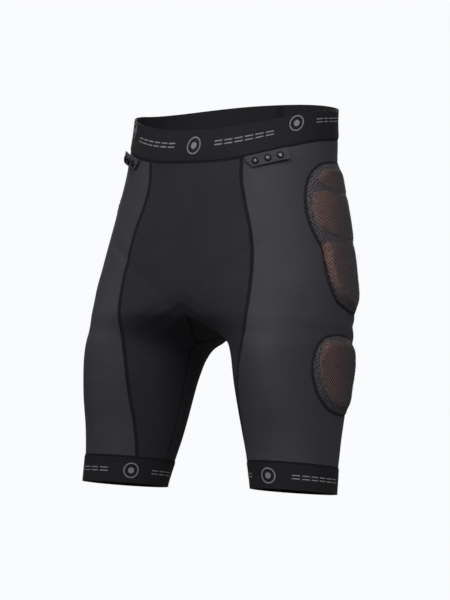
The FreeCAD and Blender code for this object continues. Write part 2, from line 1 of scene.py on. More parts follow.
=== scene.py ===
"""Looks of the padded impact shorts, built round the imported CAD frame.

Lengths are in metres. Every soft piece is a fine patch of the garment surface that the CAD layers
are cut from: at each height its outline is two ovals, one round each leg, melted into one.
"""
import bpy
import bmesh
import math
import numpy as np
from mathutils import Matrix, Vector


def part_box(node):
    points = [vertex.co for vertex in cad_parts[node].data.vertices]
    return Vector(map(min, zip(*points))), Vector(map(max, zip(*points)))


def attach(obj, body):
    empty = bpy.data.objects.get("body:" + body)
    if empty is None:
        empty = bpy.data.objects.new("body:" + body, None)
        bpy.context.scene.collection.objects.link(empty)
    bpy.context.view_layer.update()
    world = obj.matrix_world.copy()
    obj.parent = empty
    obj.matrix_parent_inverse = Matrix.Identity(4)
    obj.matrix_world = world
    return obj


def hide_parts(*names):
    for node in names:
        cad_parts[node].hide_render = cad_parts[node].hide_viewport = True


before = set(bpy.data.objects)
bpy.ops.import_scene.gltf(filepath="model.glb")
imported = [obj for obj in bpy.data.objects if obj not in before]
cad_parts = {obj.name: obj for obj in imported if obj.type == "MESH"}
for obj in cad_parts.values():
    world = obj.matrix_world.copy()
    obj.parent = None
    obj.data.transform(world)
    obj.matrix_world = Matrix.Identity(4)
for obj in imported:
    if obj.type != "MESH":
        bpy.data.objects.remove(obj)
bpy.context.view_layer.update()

MM = 0.001
GARMENT = "garment"

# ---- garment surface

# height, outer edge, centre, inner edge, front depth and back depth of the left leg's oval, in mm
STATIONS = np.array([
    (-20, 169, 124, 74, 59, 48),
    (0, 168, 123, 72, 61, 50),
    (35, 164.6, 121, 65, 65.9, 59.4),
    (65, 164.1, 119, 58, 72.7, 67.5),
    (95, 163.3, 119, 52, 83.3, 74.5),
    (125, 161.2, 117, 47, 93.1, 80.1),
    (150, 160.8, 113, 44, 98.5, 90.2),
    (165, 160.9, 108, 40, 99.8, 96.6),
    (176, 160.7, 102, 29, 99.6, 101),
    (186, 160.1, 96, 9, 101.1, 103.2),
    (200, 161.1, 86, -32, 103.2, 107.7),
    (225, 160.8, 72, -71, 101.6, 117),
    (260, 155.3, 58, -92, 98.5, 123.5),
    (325, 143, 40, -104, 95.1, 117.8),
    (385, 132.3, 28, -112, 93.6, 103),
    (420, 130.6, 22, -116, 85.5, 101.3),
    (450, 128.2, 20, -118, 83.5, 96.1),
    (510, 127.2, 20, -118, 80.3, 93.2),
], float) * MM
MELT = 18 * MM
SIDE_HEIGHT, WAIST_SLOPE, WAIST_CURVE, WAIST_DIP = 451.5 * MM, 0.157, 1.9, 0.65
WAISTBAND, LEGBAND = 34 * MM, 30 * MM
GUSSET_WIDTH, GUSSET_FRONT, GUSSET_BACK = 33 * MM, 72 * MM, 78 * MM

FRONT_SEAM = np.array([(10, 80), (30, 79), (61, 77), (106, 78), (138, 82), (162, 86), (192, 89),
                       (238, 88), (272, 84), (300, 78), (328, 69), (356, 63), (383, 63),
                       (430, 63)], float) * MM
REAR_SEAM = np.array([(10, 126), (60, 126), (100, 126), (150, 124), (200, 118), (260, 104),
                      (330, 88), (380, 74), (430, 66), (470, 62)], float) * MM
# how far the front panel hangs turned, between which heights that begins and is eased again
FRONT_TWIST, TWIST_LOW, TWIST_HIGH = 12 * MM, 90 * MM, 200 * MM
TWIST_EASED, EASE_LOW, EASE_HIGH = 0.4, 330 * MM, 400 * MM


def smoothstep(value, low, high):
    u = np.clip((value - low) / (high - low), 0, 1)
    return u * u * (3 - 2 * u)


def hermite(knots, values, slopes, x):
    """Cubic through knots with given slopes."""
    x = np.clip(x, knots[0], knots[-1])
    i = np.clip(np.searchsorted(knots, x, side="right") - 1, 0, len(knots) - 2)
    step = knots[i + 1] - knots[i]
    u = (x - knots[i]) / step
    return ((1 + 2 * u) * (1 - u) ** 2 * values[i] + u * (1 - u) ** 2 * step * slopes[i]
            + u * u * (3 - 2 * u) * values[i + 1] + u * u * (u - 1) * step * slopes[i + 1])


def level_slopes(values):
    steps = np.diff(values) / np.diff(STATIONS[:, 0])
    before, after = steps[:-1], steps[1:]
    total = np.where(before * after > 0, before + after, 1)
    inner = np.where(before * after > 0, 2 * before * after / total, 0)
    return np.concatenate([steps[:1], inner, steps[-1:]])


SLOPES = [level_slopes(STATIONS[:, k]) for k in range(1, 6)]


def oval(z):
    return [hermite(STATIONS[:, 0], STATIONS[:, k + 1], SLOPES[k], z) for k in range(5)]


def outside(x, y, z, section=None):
    """Distance, roughly, of points from the blended outline; negative inside."""
    outer, centre, inner, front, back = section or oval(z)
    depth = np.where(y < 0, front, back)

    def from_oval(across):
        offset = across - centre
        width = np.where(offset > 0, outer - centre, centre - inner)
        return (np.hypot(offset / width, y / depth) - 1) * np.minimum(width, depth)
    left, right = from_oval(x), from_oval(-x)
    near = np.maximum(MELT - np.abs(left - right), 0) / MELT
    return np.minimum(left, right) - near * near * MELT / 4


def solve(function, low, high):
    """Where a function that is positive at high changes sign, for arrays."""
    for _ in range(26):
        middle = (low + high) / 2
        beyond = function(middle) > 0
        high = np.where(beyond, middle, high)
        low = np.where(beyond, low, middle)
    return (low + high) / 2


def normal(points):
    """Outward directions; they stay level near the hems."""
    x, y, z = points[..., 0], points[..., 1], points[..., 2]
    reach = 0.5 * MM
    slope = np.stack([
        outside(x + reach, y, z) - outside(x - reach, y, z),
        outside(x, y + reach, z) - outside(x, y - reach, z),
        (outside(x, y, z + reach) - outside(x, y, z - reach)) * smoothstep(z, 40 * MM, 70 * MM),
    ], -1)
    slope[..., 0] = np.where(np.abs(x) < 1e-7, 0, slope[..., 0])
    return slope / np.linalg.norm(slope, axis=-1, keepdims=True)


def at_angle(z, angle):
    """Surface points seen from the leg's centre line; 0 is the outer side, 90 the back."""
    z, angle = np.broadcast_arrays(np.asarray(z, float), np.asarray(angle, float))
    section = oval(z)
    centre = section[1]
    cosine, sine = np.cos(np.radians(angle)), np.sin(np.radians(angle))
    limit = np.where(cosine < -1e-6, -centre / np.minimum(cosine, -1e-6), 0.4)
    limit = np.minimum(limit, 0.4)
    away = solve(lambda r: outside(centre + r * cosine, r * sine, z, section), 0.002 + 0 * z,
                 limit)
    x = centre + away * cosine
    return np.stack([np.where(np.abs(x) < 1e-6, 0, x), away * sine, z], -1)


def under(x, y):
    """Crotch's underside over a point of the plan view."""
    z = solve(lambda height: outside(x, y, height), 0.262 + 0 * x, 0.06 + 0 * x)
    return np.stack([x, y, z], -1)


def at_side(y, z):
    """Outer side's surface at a depth and height."""
    section = oval(z)
    x = solve(lambda across: outside(across, y, z, section), section[1], section[1] + 0.2)
    return np.stack([x, y, z], -1)


def seam_angle(x, z, side):
    """Angle of the front (-1) or back (+1) surface at a distance from the middle."""
    depth = solve(lambda d: outside(x, side * d, z), 0 * z, 0.2 + 0 * z)
    return np.degrees(np.arctan2(side * depth, x - oval(z)[1]))


def read_line(points, z):
    steps = np.diff(points[:, 1]) / np.diff(points[:, 0])
    slopes = np.concatenate([steps[:1], (steps[:-1] + steps[1:]) / 2, steps[-1:]])
    return hermite(points[:, 0], points[:, 1], slopes, z)


def tabulated(angle):
    """A costly function of height, worked out once and then read off."""
    heights = np.arange(-0.004, 0.5, 0.0005)
    values = angle(heights)
    return lambda z: np.interp(z, heights, values)


front_seams = {side: tabulated(lambda z, side=side: seam_angle(
    read_line(FRONT_SEAM, z) + side * FRONT_TWIST * smoothstep(z, TWIST_LOW, TWIST_HIGH)
    * (1 - TWIST_EASED * smoothstep(z, EASE_LOW, EASE_HIGH)), z, -1)) for side in (1, -1)}
rear_seam = tabulated(lambda z: seam_angle(read_line(REAR_SEAM, z), z, 1))
centre_front = tabulated(lambda z: seam_angle(0 * z, z, -1))
centre_back = tabulated(lambda z: seam_angle(0 * z, z, 1))


def in_gusset(x, y):
    return np.abs(x) / GUSSET_WIDTH + np.abs(y) / np.where(y < 0, GUSSET_FRONT, GUSSET_BACK)


def gusset_edge(side):
    """Angle of the gusset's edge, or of the inseam below it, on the front (-1) or back (+1)."""
    def angle(z):
        tip = at_angle(z, 180 + 0 * z)
        far = np.abs(centre_front(z) if side < 0 else centre_back(z))

        def beyond(turn):
            point = at_angle(z, side * turn)
            return 1 - in_gusset(point[..., 0], point[..., 1])
        edge = solve(beyond, 90 + 0 * z, np.maximum(far, 91))
        return side * np.where(in_gusset(tip[..., 0], tip[..., 1]) >= 1, 180, edge)
    return tabulated(angle)


def waist(drop):
    return lambda y: (SIDE_HEIGHT + WAIST_SLOPE * y + WAIST_CURVE * y * np.abs(y)
                      - WAIST_DIP * y * y - drop)


def fixed(value):
    """A height or an angle that is the same everywhere."""
    return lambda place: value + 0 * place


# ---- soft folds

def folds(points):
    """How far the worn fabric stands off or falls back from the fitted surface."""
    x, y, z = points[..., 0], points[..., 1], points[..., 2]
    side = np.abs(x)
    soft = 0.5 * MM * np.sin(z / (31 * MM) + 2.1 * np.sin(y / (60 * MM)) + 9 * side)
    soft += 0.35 * MM * np.sin(y / (24 * MM) + z / (70 * MM) + np.sign(x) * 0.8)
    soft *= smoothstep(z, 30 * MM, 70 * MM) * (1 - smoothstep(z, 360 * MM, 410 * MM))
    low = np.exp(-((z - 192 * MM) / (24 * MM)) ** 2 - (side / (46 * MM)) ** 2
                 - ((y + 62 * MM) / (34 * MM)) ** 2)
    crease = 1.1 * MM * low * np.sin((z + 0.55 * side) / (2.1 * MM))
    behind = np.exp(-((z - 196 * MM) / (26 * MM)) ** 2 - ((y - 84 * MM) / (40 * MM)) ** 2)
    seat = 1.0 * MM * behind * np.sin((z - 0.35 * side) / (3.6 * MM))
    groin = np.exp(-((z - (205 * MM + 0.75 * side)) / (9 * MM)) ** 2) * np.where(y < 0, 1, 0)
    groin *= smoothstep(side, 12 * MM, 40 * MM) * (1 - smoothstep(side, 92 * MM, 128 * MM))
    return soft + crease + seat - 1.3 * MM * groin


def dressed(points):
    """Surface points and directions with the folds put in."""
    away = normal(points)
    return points + away * folds(points)[..., None], away


# ---- mesh building

def shares(columns, rows):
    """Even shares from 0 to 1 along a grid's columns and rows."""
    return np.linspace(0, 1, columns + 1)[None, :], np.linspace(0, 1, rows + 1)[:, None]


def patch(start, end, low, high, columns, rows):
    """Grid of points between two angles and two heights. Rows may be a list of shares."""
    u, v = shares(columns, rows if np.isscalar(rows) else 1)
    v = v if np.isscalar(rows) else rows[:, None]
    z = low(np.zeros(1)) * (1 - v) + high(np.zeros(1)) * v + 0 * u
    for _ in range(3 if np.ptp(low(np.array([-0.1, 0.1]))) + np.ptp(
            high(np.array([-0.1, 0.1]))) > 0 else 0):
        points = at_angle(z, start(z) * (1 - u) + end(z) * u)
        z = low(points[..., 1]) * (1 - v) + high(points[..., 1]) * v
    return at_angle(z, start(z) * (1 - u) + end(z) * u)


def plan_patch(corner, columns, rows):
    u, v = shares(columns, rows)
    x, y = corner(u + 0 * v, v + 0 * u)
    return under(x, y)


def run_length(points):
    """Distance covered along a row of points, up to each of them."""
    return np.concatenate([[0], np.cumsum(np.linalg.norm(np.diff(points, axis=0), axis=1))])


def flip(grid):
    return grid * np.array([-1, 1, 1])


LEGS = (("left", 1, lambda grid: grid), ("right", -1, flip))


def cloth_uv(grid):
    """Lengths in metres round the body and up it, so that a weave keeps its scale."""
    across = np.linalg.norm(np.diff(grid, axis=1), axis=2)
    middle = across.shape[1] // 2
    u = np.concatenate([np.zeros((len(grid), 1)), np.cumsum(across, axis=1)], 1)
    u -= u[:, middle:middle + 1]
    return np.stack([u, grid[..., 2]], -1)


EDGES = {"low": (0, slice(None)), "high": (-1, slice(None)),
         "start": (slice(None), 0), "end": (slice(None), -1)}
ALL_SIDES = "low high start end"


class Mesh:
    """Vertices, faces, texture coordinates and material slots, collected patch by patch."""

    def __init__(self):
        self.points, self.faces, self.slot = [], [], 0

    def vertices(self, points):
        """Add points and give their numbers, in the same layout."""
        base = sum(map(len, self.points))
        self.points.append(points.reshape(-1, 3))
        return base + np.arange(points.size // 3).reshape(points.shape[:-1])

    def add(self, faces, uv):
        self.faces.append((faces, uv, np.full(len(faces), self.slot)))

    def grid(self, points, uv, reverse=False, closed=False):
        index = self.vertices(points)
        if closed:
            index = np.concatenate([index, index[:, :1]], 1)
        quads = np.stack([index[:-1, :-1], index[:-1, 1:], index[1:, 1:], index[1:, :-1]],
                         -1).reshape(-1, 4)
        if reverse:
            quads = quads[:, ::-1]
        self.add(quads, uv.reshape(-1, 2)[quads - index[0, 0]])
        return index

    def strip(self, first, second):
        """Wall between two rows of vertex numbers."""
        quads = np.stack([first[:-1], first[1:], second[1:], second[:-1]], -1)
        self.add(quads, np.zeros((len(quads), 4, 2)))

    def sheet(self, outer, inner, uv, sides=ALL_SIDES, closed=False):
        """Outer and inner grid of points, with walls between them on some sides."""
        face = self.grid(outer, uv, closed=closed)
        back = self.grid(inner, uv, reverse=True, closed=closed)
        for side in sides.split():
            self.strip(face[EDGES[side]], back[EDGES[side]])
        return face, back

    def fan(self, ring, centre, ring_uv=(0, 0), centre_uv=(0, 0)):
        """Triangles from a closed ring of vertex numbers to a centre point."""
        tip = self.vertices(np.array([centre], float))
        count = len(ring) - 1
        uv = np.broadcast_to(ring_uv, (count + 1, 2))
        self.add(np.stack([ring[:-1], ring[1:], np.repeat(tip, count)], -1),
                 np.stack([uv[:-1], uv[1:], np.broadcast_to(centre_uv, (count, 2))], 1))


def build(name, mesh, materials, mirror=1, sharp=40, merge=0.02 * MM):
    """Turn collected patches into one smooth-shaded object."""
    data = bpy.data.meshes.new(name)
    data.from_pydata((np.concatenate(mesh.points) * (mirror, 1, 1)).tolist(), [],
                     [face for faces, _, _ in mesh.faces for face in faces.tolist()])
    data.polygons.foreach_set("material_index", np.concatenate(
        [slots for _, _, slots in mesh.faces]).astype(np.int32))
    data.uv_layers.new(name="cloth").data.foreach_set("uv", np.concatenate(
        [uv.reshape(-1) for _, uv, _ in mesh.faces]).astype(np.float32))
    work = bmesh.new()
    work.from_mesh(data)
    bmesh.ops.remove_doubles(work, verts=work.verts, dist=merge)
    bmesh.ops.dissolve_degenerate(work, edges=work.edges, dist=1e-7)
    bmesh.ops.recalc_face_normals(work, faces=work.faces)
    limit = math.radians(sharp)
    for edge in work.edges:
        edge.smooth = not (len(edge.link_faces) == 2 and edge.calc_face_angle(0) > limit)
    for face in work.faces:
        face.smooth = True
    work.to_mesh(data)
    work.free()
    for material in materials:
        data.materials.append(material)
    obj = bpy.data.objects.new(name, data)
    bpy.context.scene.collection.objects.link(obj)
    return obj


def make_piece(name, mesh, material, slot, body=GARMENT, stands_in=True, **options):
    """Build an object that rides on a body and stands for the CAD node of its name."""
    obj = build(name, mesh, material if isinstance(material, list) else [material], **options)
    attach(obj, body)
    if stands_in:
        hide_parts(name)
    return obj


def thick(mesh, grid, low, high, free):
    """Add a thickened patch: outer and inner faces and the walls on its free sides."""
    points, away = dressed(grid)
    mesh.sheet(points + away * high, points + away * low, cloth_uv(grid), free)


def fabric(name, patches, low, high, material, slot):
    mesh = Mesh()
    for grid, free in patches:
        thick(mesh, grid, low, high, free)
    make_piece(name, mesh, material, slot)


# ---- materials

def shade(tone, factor=1):
    """Linear colour of an 8-bit screen colour, made darker or lighter."""
    unit = [level * factor / 255 for level in tone]
    return [u / 12.92 if u <= 0.04045 else ((u + 0.055) / 1.055) ** 2.4 for u in unit] + [1.0]


class Nodes:
    """Short way to write a procedural material."""

    def __init__(self, name):
        self.material = bpy.data.materials.new(name)
        self.material.use_nodes = True
        self.tree = self.material.node_tree
        self.shader = self.tree.nodes["Principled BSDF"]

    def add(self, kind, **values):
        node = self.tree.nodes.new("ShaderNode" + kind)
        for key, value in values.items():
            self.put(node, key.replace("_", " "), value)
        return node

    def put(self, node, socket, value):
        if isinstance(value, bpy.types.NodeSocket):
            self.tree.links.new(value, node.inputs[socket])
        else:
            node.inputs[socket].default_value = value

    def math(self, operation, *values):
        node = self.add("Math")
        node.operation = operation
        for index, value in enumerate(values):
            self.put(node, index, value)
        return node.outputs[0]

    def times(self, a, b):
        return self.math("MULTIPLY", a, b)

    def wave(self, length, pitch, shape="SINE"):
        """Wave along a length, once in every pitch."""
        return self.math(shape, self.times(length, math.tau / pitch))

    def uv(self):
        node = self.add("UVMap")
        node.uv_map = "cloth"
        split = self.add("SeparateXYZ", Vector=node.outputs[0])
        return node.outputs[0], split.outputs[0], split.outputs[1]

    def place(self):
        return self.add("TexCoord").outputs["Object"]

    def noise(self, vector, scale, detail=3.0, roughness=0.5):
        return self.add("TexNoise", Vector=vector, Scale=scale, Detail=detail,
                        Roughness=roughness).outputs["Fac"]

    def ramp(self, value, low, high):
        return self.add("MapRange", Value=value, From_Min=low, From_Max=high).outputs[0]

    def mix(self, factor, a, b):
        node = self.add("Mix")
        node.data_type = "RGBA"
        for socket, value in ((0, factor), (6, a), (7, b)):
            self.put(node, socket, value)
        return node.outputs[2]

    def tint(self, factor, tone, dark, light, low=0.3, high=0.7):
        """Colour between a darker and a lighter shade of a tone."""
        return self.mix(self.ramp(factor, low, high), shade(tone, dark), shade(tone, light))

    def finish(self, colour, roughness, height, strength, distance, **others):
        """Set the shader: colour, roughness, relief, and any other socket."""
        relief = self.add("Bump", Strength=strength, Distance=distance, Height=height)
        values = dict(others, Base_Color=colour, Roughness=roughness, Normal=relief.outputs[0])
        for key, value in values.items():
            self.put(self.shader, key.replace("_", " "), value)
        return self.material


def knit(nodes, u, v, wale, course):
    """Rows of knitted loops: height of the yarn from a wale and a course length."""
    across = nodes.wave(u, wale)
    bend = nodes.times(nodes.math("ABSOLUTE", across), 1.6)
    along = nodes.math("SINE", nodes.math("ADD", nodes.times(v, math.tau / course), bend))
    return nodes.math("MULTIPLY_ADD", along, 0.5, nodes.times(across, 0.35))


def jersey_material(name, tone, wale=0.9 * MM, sheen=0.05):
    nodes = Nodes(name)
    vector, u, v = nodes.uv()
    yarn = knit(nodes, u, v, wale, wale * 0.9)
    mottle = nodes.math("ADD", nodes.times(nodes.noise(nodes.place(), 18.0, 4.0), 0.5),
                        nodes.times(nodes.noise(vector, 900.0, 2.0), 0.5))
    colour = nodes.tint(mottle, tone, 0.88, 1.12)
    # painted shade: the knit's hollows between loops are darkened
    shaded = nodes.mix(nodes.ramp(yarn, -0.9, 0.2), shade(tone, 0.6), colour)
    return nodes.finish(shaded, 0.8, yarn, 0.5, 0.25 * MM, Specular_IOR_Level=0.2,
                        Sheen_Weight=sheen, Sheen_Roughness=0.45)


def net_pattern(nodes, u, v, pitch):
    """Staggered round holes: near 1 in a hole's middle and low on the yarn."""
    a, b = (nodes.wave(nodes.math(way, u, v), pitch * math.sqrt(2), "COSINE")
            for way in ("ADD", "SUBTRACT"))
    return nodes.times(nodes.math("ADD", a, b), 0.5)


def net_material(name, tone, pitch, holes):
    """Warp-knit mesh; painted highlights on the yarn, painted shade in the holes. Only with holes
    is it really open.
    """
    nodes = Nodes(name)
    vector, u, v = nodes.uv()
    pattern = net_pattern(nodes, u, v, pitch)
    fine = knit(nodes, u, v, 0.7 * MM, 0.7 * MM)
    yarn = nodes.tint(nodes.noise(nodes.place(), 14.0, 4.0), tone, 0.96, 1.04)
    hole = nodes.ramp(pattern, 0.1, 0.55)
    others = {}
    if holes:
        # painted highlight: the yarn between the holes is lightened into glints, more in some
        # patches
        patchy = nodes.ramp(nodes.noise(vector, 240.0, 2.0), 0.4, 0.62)
        glint = nodes.times(nodes.ramp(pattern, -0.35, 0.02),
                            nodes.math("MULTIPLY_ADD", patchy, 0.3, 0.12))
        yarn = nodes.mix(glint, yarn, shade(tone, 2.3))
        hole_shading, depth = 0.5, 1.0
        others["Alpha"] = nodes.math("LESS_THAN", pattern, 0.15)
    else:
        patchy = nodes.ramp(nodes.noise(nodes.place(), 17.0, 1.0), 0.45, 0.75)
        open_knit = nodes.math("MULTIPLY_ADD", patchy, 0.5, 0.5)
        # painted highlight: the yarn between the holes is lightened into glints, more where the
        # knit is patchy
        yarn_glint = nodes.times(open_knit, nodes.ramp(pattern, -0.75, -0.2))
        yarn = nodes.mix(nodes.times(yarn_glint, 0.25), yarn, shade(tone, 1.7))
        hole_shading, depth = nodes.math("MULTIPLY_ADD", open_knit, 0.26, 0.14), 0.45
    # painted shade: the holes are darkened towards a near-black, by the amount set above
    colour = nodes.mix(nodes.times(hole, hole_shading), yarn, shade(HOLE_SHADE))
    relief = nodes.math("SUBTRACT", nodes.times(fine, 0.2), nodes.times(hole, depth))
    return nodes.finish(colour, 0.6, relief, 0.6, 0.4 * MM, Sheen_Weight=0.04,
                        Sheen_Roughness=0.4, Specular_IOR_Level=0.25, **others)


def elastic_material(name, tone):
    """Ribbed jacquard elastic."""
    nodes = Nodes(name)
    vector, u, v = nodes.uv()
    yarn = nodes.math("MULTIPLY_ADD", nodes.wave(u, 0.8 * MM), 0.3, nodes.wave(v, 1.5 * MM))
    colour = nodes.tint(nodes.noise(vector, 700.0, 2.0), tone, 0.85, 1.15)
    return nodes.finish(colour, 0.75, yarn, 0.45, 0.2 * MM, Sheen_Weight=0.04,
                        Sheen_Roughness=0.4, Specular_IOR_Level=0.2)


def foam_material(name, tone, pore=0.5, grain=260.0):
    nodes = Nodes(name)
    place = nodes.place()
    colour = nodes.tint(nodes.noise(place, 30.0, 3.0), tone, 0.82, 1)
    return nodes.finish(colour, 0.6, nodes.noise(place, grain, 4.0, 0.7), pore, 0.4 * MM,
                        Subsurface_Weight=0.1, Subsurface_Radius=(0.004, 0.002, 0.001))


def yarn_material(name, tone, turn=1.2 * MM):
    """Twisted thread or felted webbing."""
    nodes = Nodes(name)
    _, u, v = nodes.uv()
    fuzz = nodes.noise(nodes.place(), 900.0, 4.0, 0.7)
    relief = nodes.math("MULTIPLY_ADD", nodes.wave(nodes.math("ADD", u, v), turn), 0.5, fuzz)
    return nodes.finish(nodes.tint(fuzz, tone, 0.8, 1.2), 0.85, relief, 0.5, 0.2 * MM,
                        Sheen_Weight=0.04, Specular_IOR_Level=0.2)


def hard_material(name, tone, metallic, roughness, scratch=0.08):
    nodes = Nodes(name)
    wear = nodes.noise(nodes.place(), 400.0, 5.0, 0.6)
    rough = nodes.math("MULTIPLY_ADD", wear, 0.15, roughness)
    return nodes.finish(nodes.tint(wear, tone, 1, 1.25, 0.35, 0.75), rough, wear, scratch,
                        0.05 * MM, Metallic=metallic)


# near-black painted into the mesh holes as painted shade
HOLE_SHADE = (10, 10, 12)
JERSEY = jersey_material("smooth_knit", (60, 59, 67))
PANEL_NET = net_material("panel_mesh", (69, 68, 75), 2.9 * MM, holes=False)
COVER_NET = net_material("cover_mesh", (80, 77, 81), 3.0 * MM, holes=True)
ELASTIC = elastic_material("band_elastic", (41, 40, 44))
MARK = yarn_material("woven_mark", (150, 150, 154), 0.9 * MM)
THREAD = yarn_material("flatlock_thread", (34, 33, 37), 1.0 * MM)
BINDING = yarn_material("rolled_binding", (44, 42, 46), 1.6 * MM)
TAPE = yarn_material("join_tape", (32, 31, 35))
TAB = yarn_material("tab_felt", (84, 81, 86), 2.2 * MM)
IMPACT = foam_material("impact_foam", (255, 158, 112))
BACKING_CLOTH = jersey_material("pad_backing", (34, 33, 37))
SEAT_FOAM = foam_material("seat_foam", (110, 112, 118), 0.8, 500.0)
SEAT_CLOTH = jersey_material("brushed_seat_cloth", (66, 68, 74), 1.4 * MM, 0.6)
LACQUER = hard_material("black_lacquer", (22, 22, 24), 0.6, 0.2)
BRIGHT = hard_material("bright_steel", (138, 139, 142), 1.0, 0.2)
SILICONE = hard_material("grip_silicone", (70, 70, 74), 0.0, 0.35, 0.2)
SATIN = yarn_material("label_satin", (205, 205, 204), 0.5 * MM)


# ---- panels

FABRIC = 1.0 * MM


def gusset_tip(side):
    depth = -GUSSET_FRONT if side < 0 else GUSSET_BACK
    return float(under(np.zeros(1), np.array([depth]))[0, 2])


def make_panels():
    hem, top = fixed(LEGBAND), waist(WAISTBAND)
    front_tip, back_tip = fixed(gusset_tip(-1)), fixed(gusset_tip(1))
    front = []
    for name, side, turn in LEGS:
        seam = front_seams[side]
        outer = patch(seam, rear_seam, hem, top, 90, 200)
        fabric("side_panel_" + name, [(turn(outer), ALL_SIDES)], -FABRIC, 0, PANEL_NET, "mesh")
        belly = patch(seam, centre_front, front_tip, top, 64, 110)
        thigh = patch(seam, gusset_edge(-1), hem, front_tip, 64, 110)
        front += [(turn(belly), "high start"), (turn(thigh), "low start end")]
    fabric("front_panel", front, -FABRIC, 0, JERSEY, "jersey")
    seat = patch(rear_seam, centre_back, back_tip, top, 64, 110)
    thigh = patch(rear_seam, gusset_edge(1), hem, back_tip, 64, 110)
    for name, _, turn in LEGS:
        fabric("back_panel_" + name, [(turn(seat), "high start end"),
                                      (turn(thigh), "low start end")],
               -FABRIC, 0, JERSEY, "jersey")


def diamond(scale=1.0):
    wide = GUSSET_WIDTH * scale
    return [np.array(p) for p in ((0, -GUSSET_FRONT * scale), (wide, 0),
                                  (0, GUSSET_BACK * scale), (-wide, 0))]


def between(a, b, u):
    return a * (1 - u[..., None]) + b * u[..., None]


def make_gusset():
    front, left, back, right = diamond()

    def corner(u, v):
        spot = between(between(front, left, u), between(right, back, u), v)
        return spot[..., 0], spot[..., 1]
    fabric("crotch_gusset", [(plan_patch(corner, 40, 48), ALL_SIDES)], -FABRIC, 0, JERSEY,
           "jersey")


# ---- bands and marks

BAND_OUT, BAND_IN = 1.2 * MM, -1.0 * MM


def rolled(mesh, grid):
    """Band whose upper and lower edges are rounded: rows run round its section."""
    points, away = dressed(grid)
    half, middle = (BAND_OUT - BAND_IN) / 2, (BAND_OUT + BAND_IN) / 2
    climb = np.abs(np.linspace(-1, 1, len(grid)))[:, None, None]
    height = np.linalg.norm(grid[-1] - grid[0], axis=-1)[None, :, None]
    edge = np.clip((climb - 1) * height / 2 / half + 1, 0, 1)
    bulge = half * np.sqrt(np.maximum(1 - edge ** 2, 0))
    mesh.sheet(points + away * (middle + bulge), points + away * (middle - bulge),
               cloth_uv(grid), "")


def band_patch(start, end, low, high, columns):
    """Patch with its rows crowded towards both edges of a band."""
    return patch(start, end, low, high, columns, (1 - np.cos(np.linspace(0, math.pi, 25))) / 2)


def make_bands():
    mesh = Mesh()
    left = band_patch(centre_front, centre_back, waist(WAISTBAND), waist(0), 120)
    for grid in (left, flip(left)):
        rolled(mesh, grid)
    make_piece("waistband", mesh, ELASTIC, "elastic", sharp=70)
    halves = [band_patch(fixed(start), fixed(start + 180), fixed(0), fixed(LEGBAND), 60)
              for start in (-90, 90)]
    for name, _, turn in LEGS:
        mesh = Mesh()
        for grid in halves:
            rolled(mesh, turn(grid))
        make_piece("leg_band_" + name, mesh, ELASTIC, "elastic", sharp=70)


def make_inner_trim():
    """Join tape inside the waistband and the silicone strips inside the leg bands."""
    face = BAND_IN - 0.05 * MM
    tape = patch(lambda z: seam_angle(5 * MM + 0 * z, z, 1), centre_back,
                 waist(WAISTBAND - 2 * MM), waist(2 * MM), 6, 24)
    fabric("waistband_join_tape", [(tape, "low high start"), (flip(tape), "low high start")],
           face - 0.6 * MM, face, TAPE, "tape")
    for name, _, turn in LEGS:
        mesh = Mesh()
        for start in (-90, 90):
            ring = patch(fixed(start), fixed(start + 180), fixed(5 * MM), fixed(23 * MM), 120,
                         36)
            u, v = shares(120, 36)
            angle = np.radians(start + 180 * u)
            wave = 0.5 + 0.5 * np.cos(3 * math.tau * v + 0.9 * np.sin(angle * 24))
            edges = np.clip(np.minimum(v, 1 - v) * 12, 0, 1)
            depth = (0.25 + 0.5 * wave * edges) * MM
            points, away = dressed(turn(ring))
            mesh.sheet(points + away * face, points + away * (face - depth)[..., None],
                       cloth_uv(ring), "low high")
        make_piece("gripper_" + name, mesh, SILICONE, "silicone")


# ---- sewn seams

SEAM_WIDTH, SEAM_PROUD = 2.4 * MM, 0.6 * MM
FLATLOCK_WIDTH = 4.4 * MM
SEAM_CLEAR, SEAM_SINK = 0.05 * MM, 0.3 * MM
STITCH = 1.9 * MM


def raised_seam(mesh, grid, free, width=SEAM_WIDTH):
    """Sewn seam: a rounded ridge crossed by stitches. Rows run along the seam.
    A wide one is a flatlock seam, with a groove between its two needle lines."""
    points, away = dressed(grid)
    columns = grid.shape[1]
    along = run_length(grid[:, columns // 2])[:, None]
    across = np.linspace(-1, 1, columns)[None, :]
    dome = np.sqrt(np.maximum(1 - (across * 0.94) ** 2, 0))
    stitch = 0.5 + 0.5 * np.cos(math.tau * (along / STITCH + 0.22 * np.abs(across)))
    groove = (width > SEAM_WIDTH) * 0.35 * np.exp(-(across / 0.3) ** 2)
    height = SEAM_PROUD * dome * (0.45 + 0.55 * stitch) * (1 - groove)
    uv = np.stack([across * width / 2 + 0 * along, along + 0 * across], -1)
    mesh.sheet(points + away * (height + SEAM_CLEAR)[..., None], points - away * SEAM_SINK, uv,
               free)


def seam_piece(name, strips, width=SEAM_WIDTH):
    mesh = Mesh()
    for grid, free in strips:
        raised_seam(mesh, grid, free, width)
    make_piece(name, mesh, THREAD, "thread", sharp=60)


def seam_strip(angle, low, high, rows, width=SEAM_WIDTH):
    def edge(sign):
        def turned(z):
            middle = angle(z)
            point = at_angle(z, middle)
            away = np.hypot(point[..., 0] - oval(z)[1], point[..., 1])
            return middle + sign * np.degrees(width / 2 / away)
        return turned
    return patch(edge(-1), edge(1), low, high, round(width / (0.4 * MM)), rows)


def across_rows(grid):
    """Turn a ring's grid so that its rows run along the seam."""
    return np.swapaxes(grid, 0, 1)


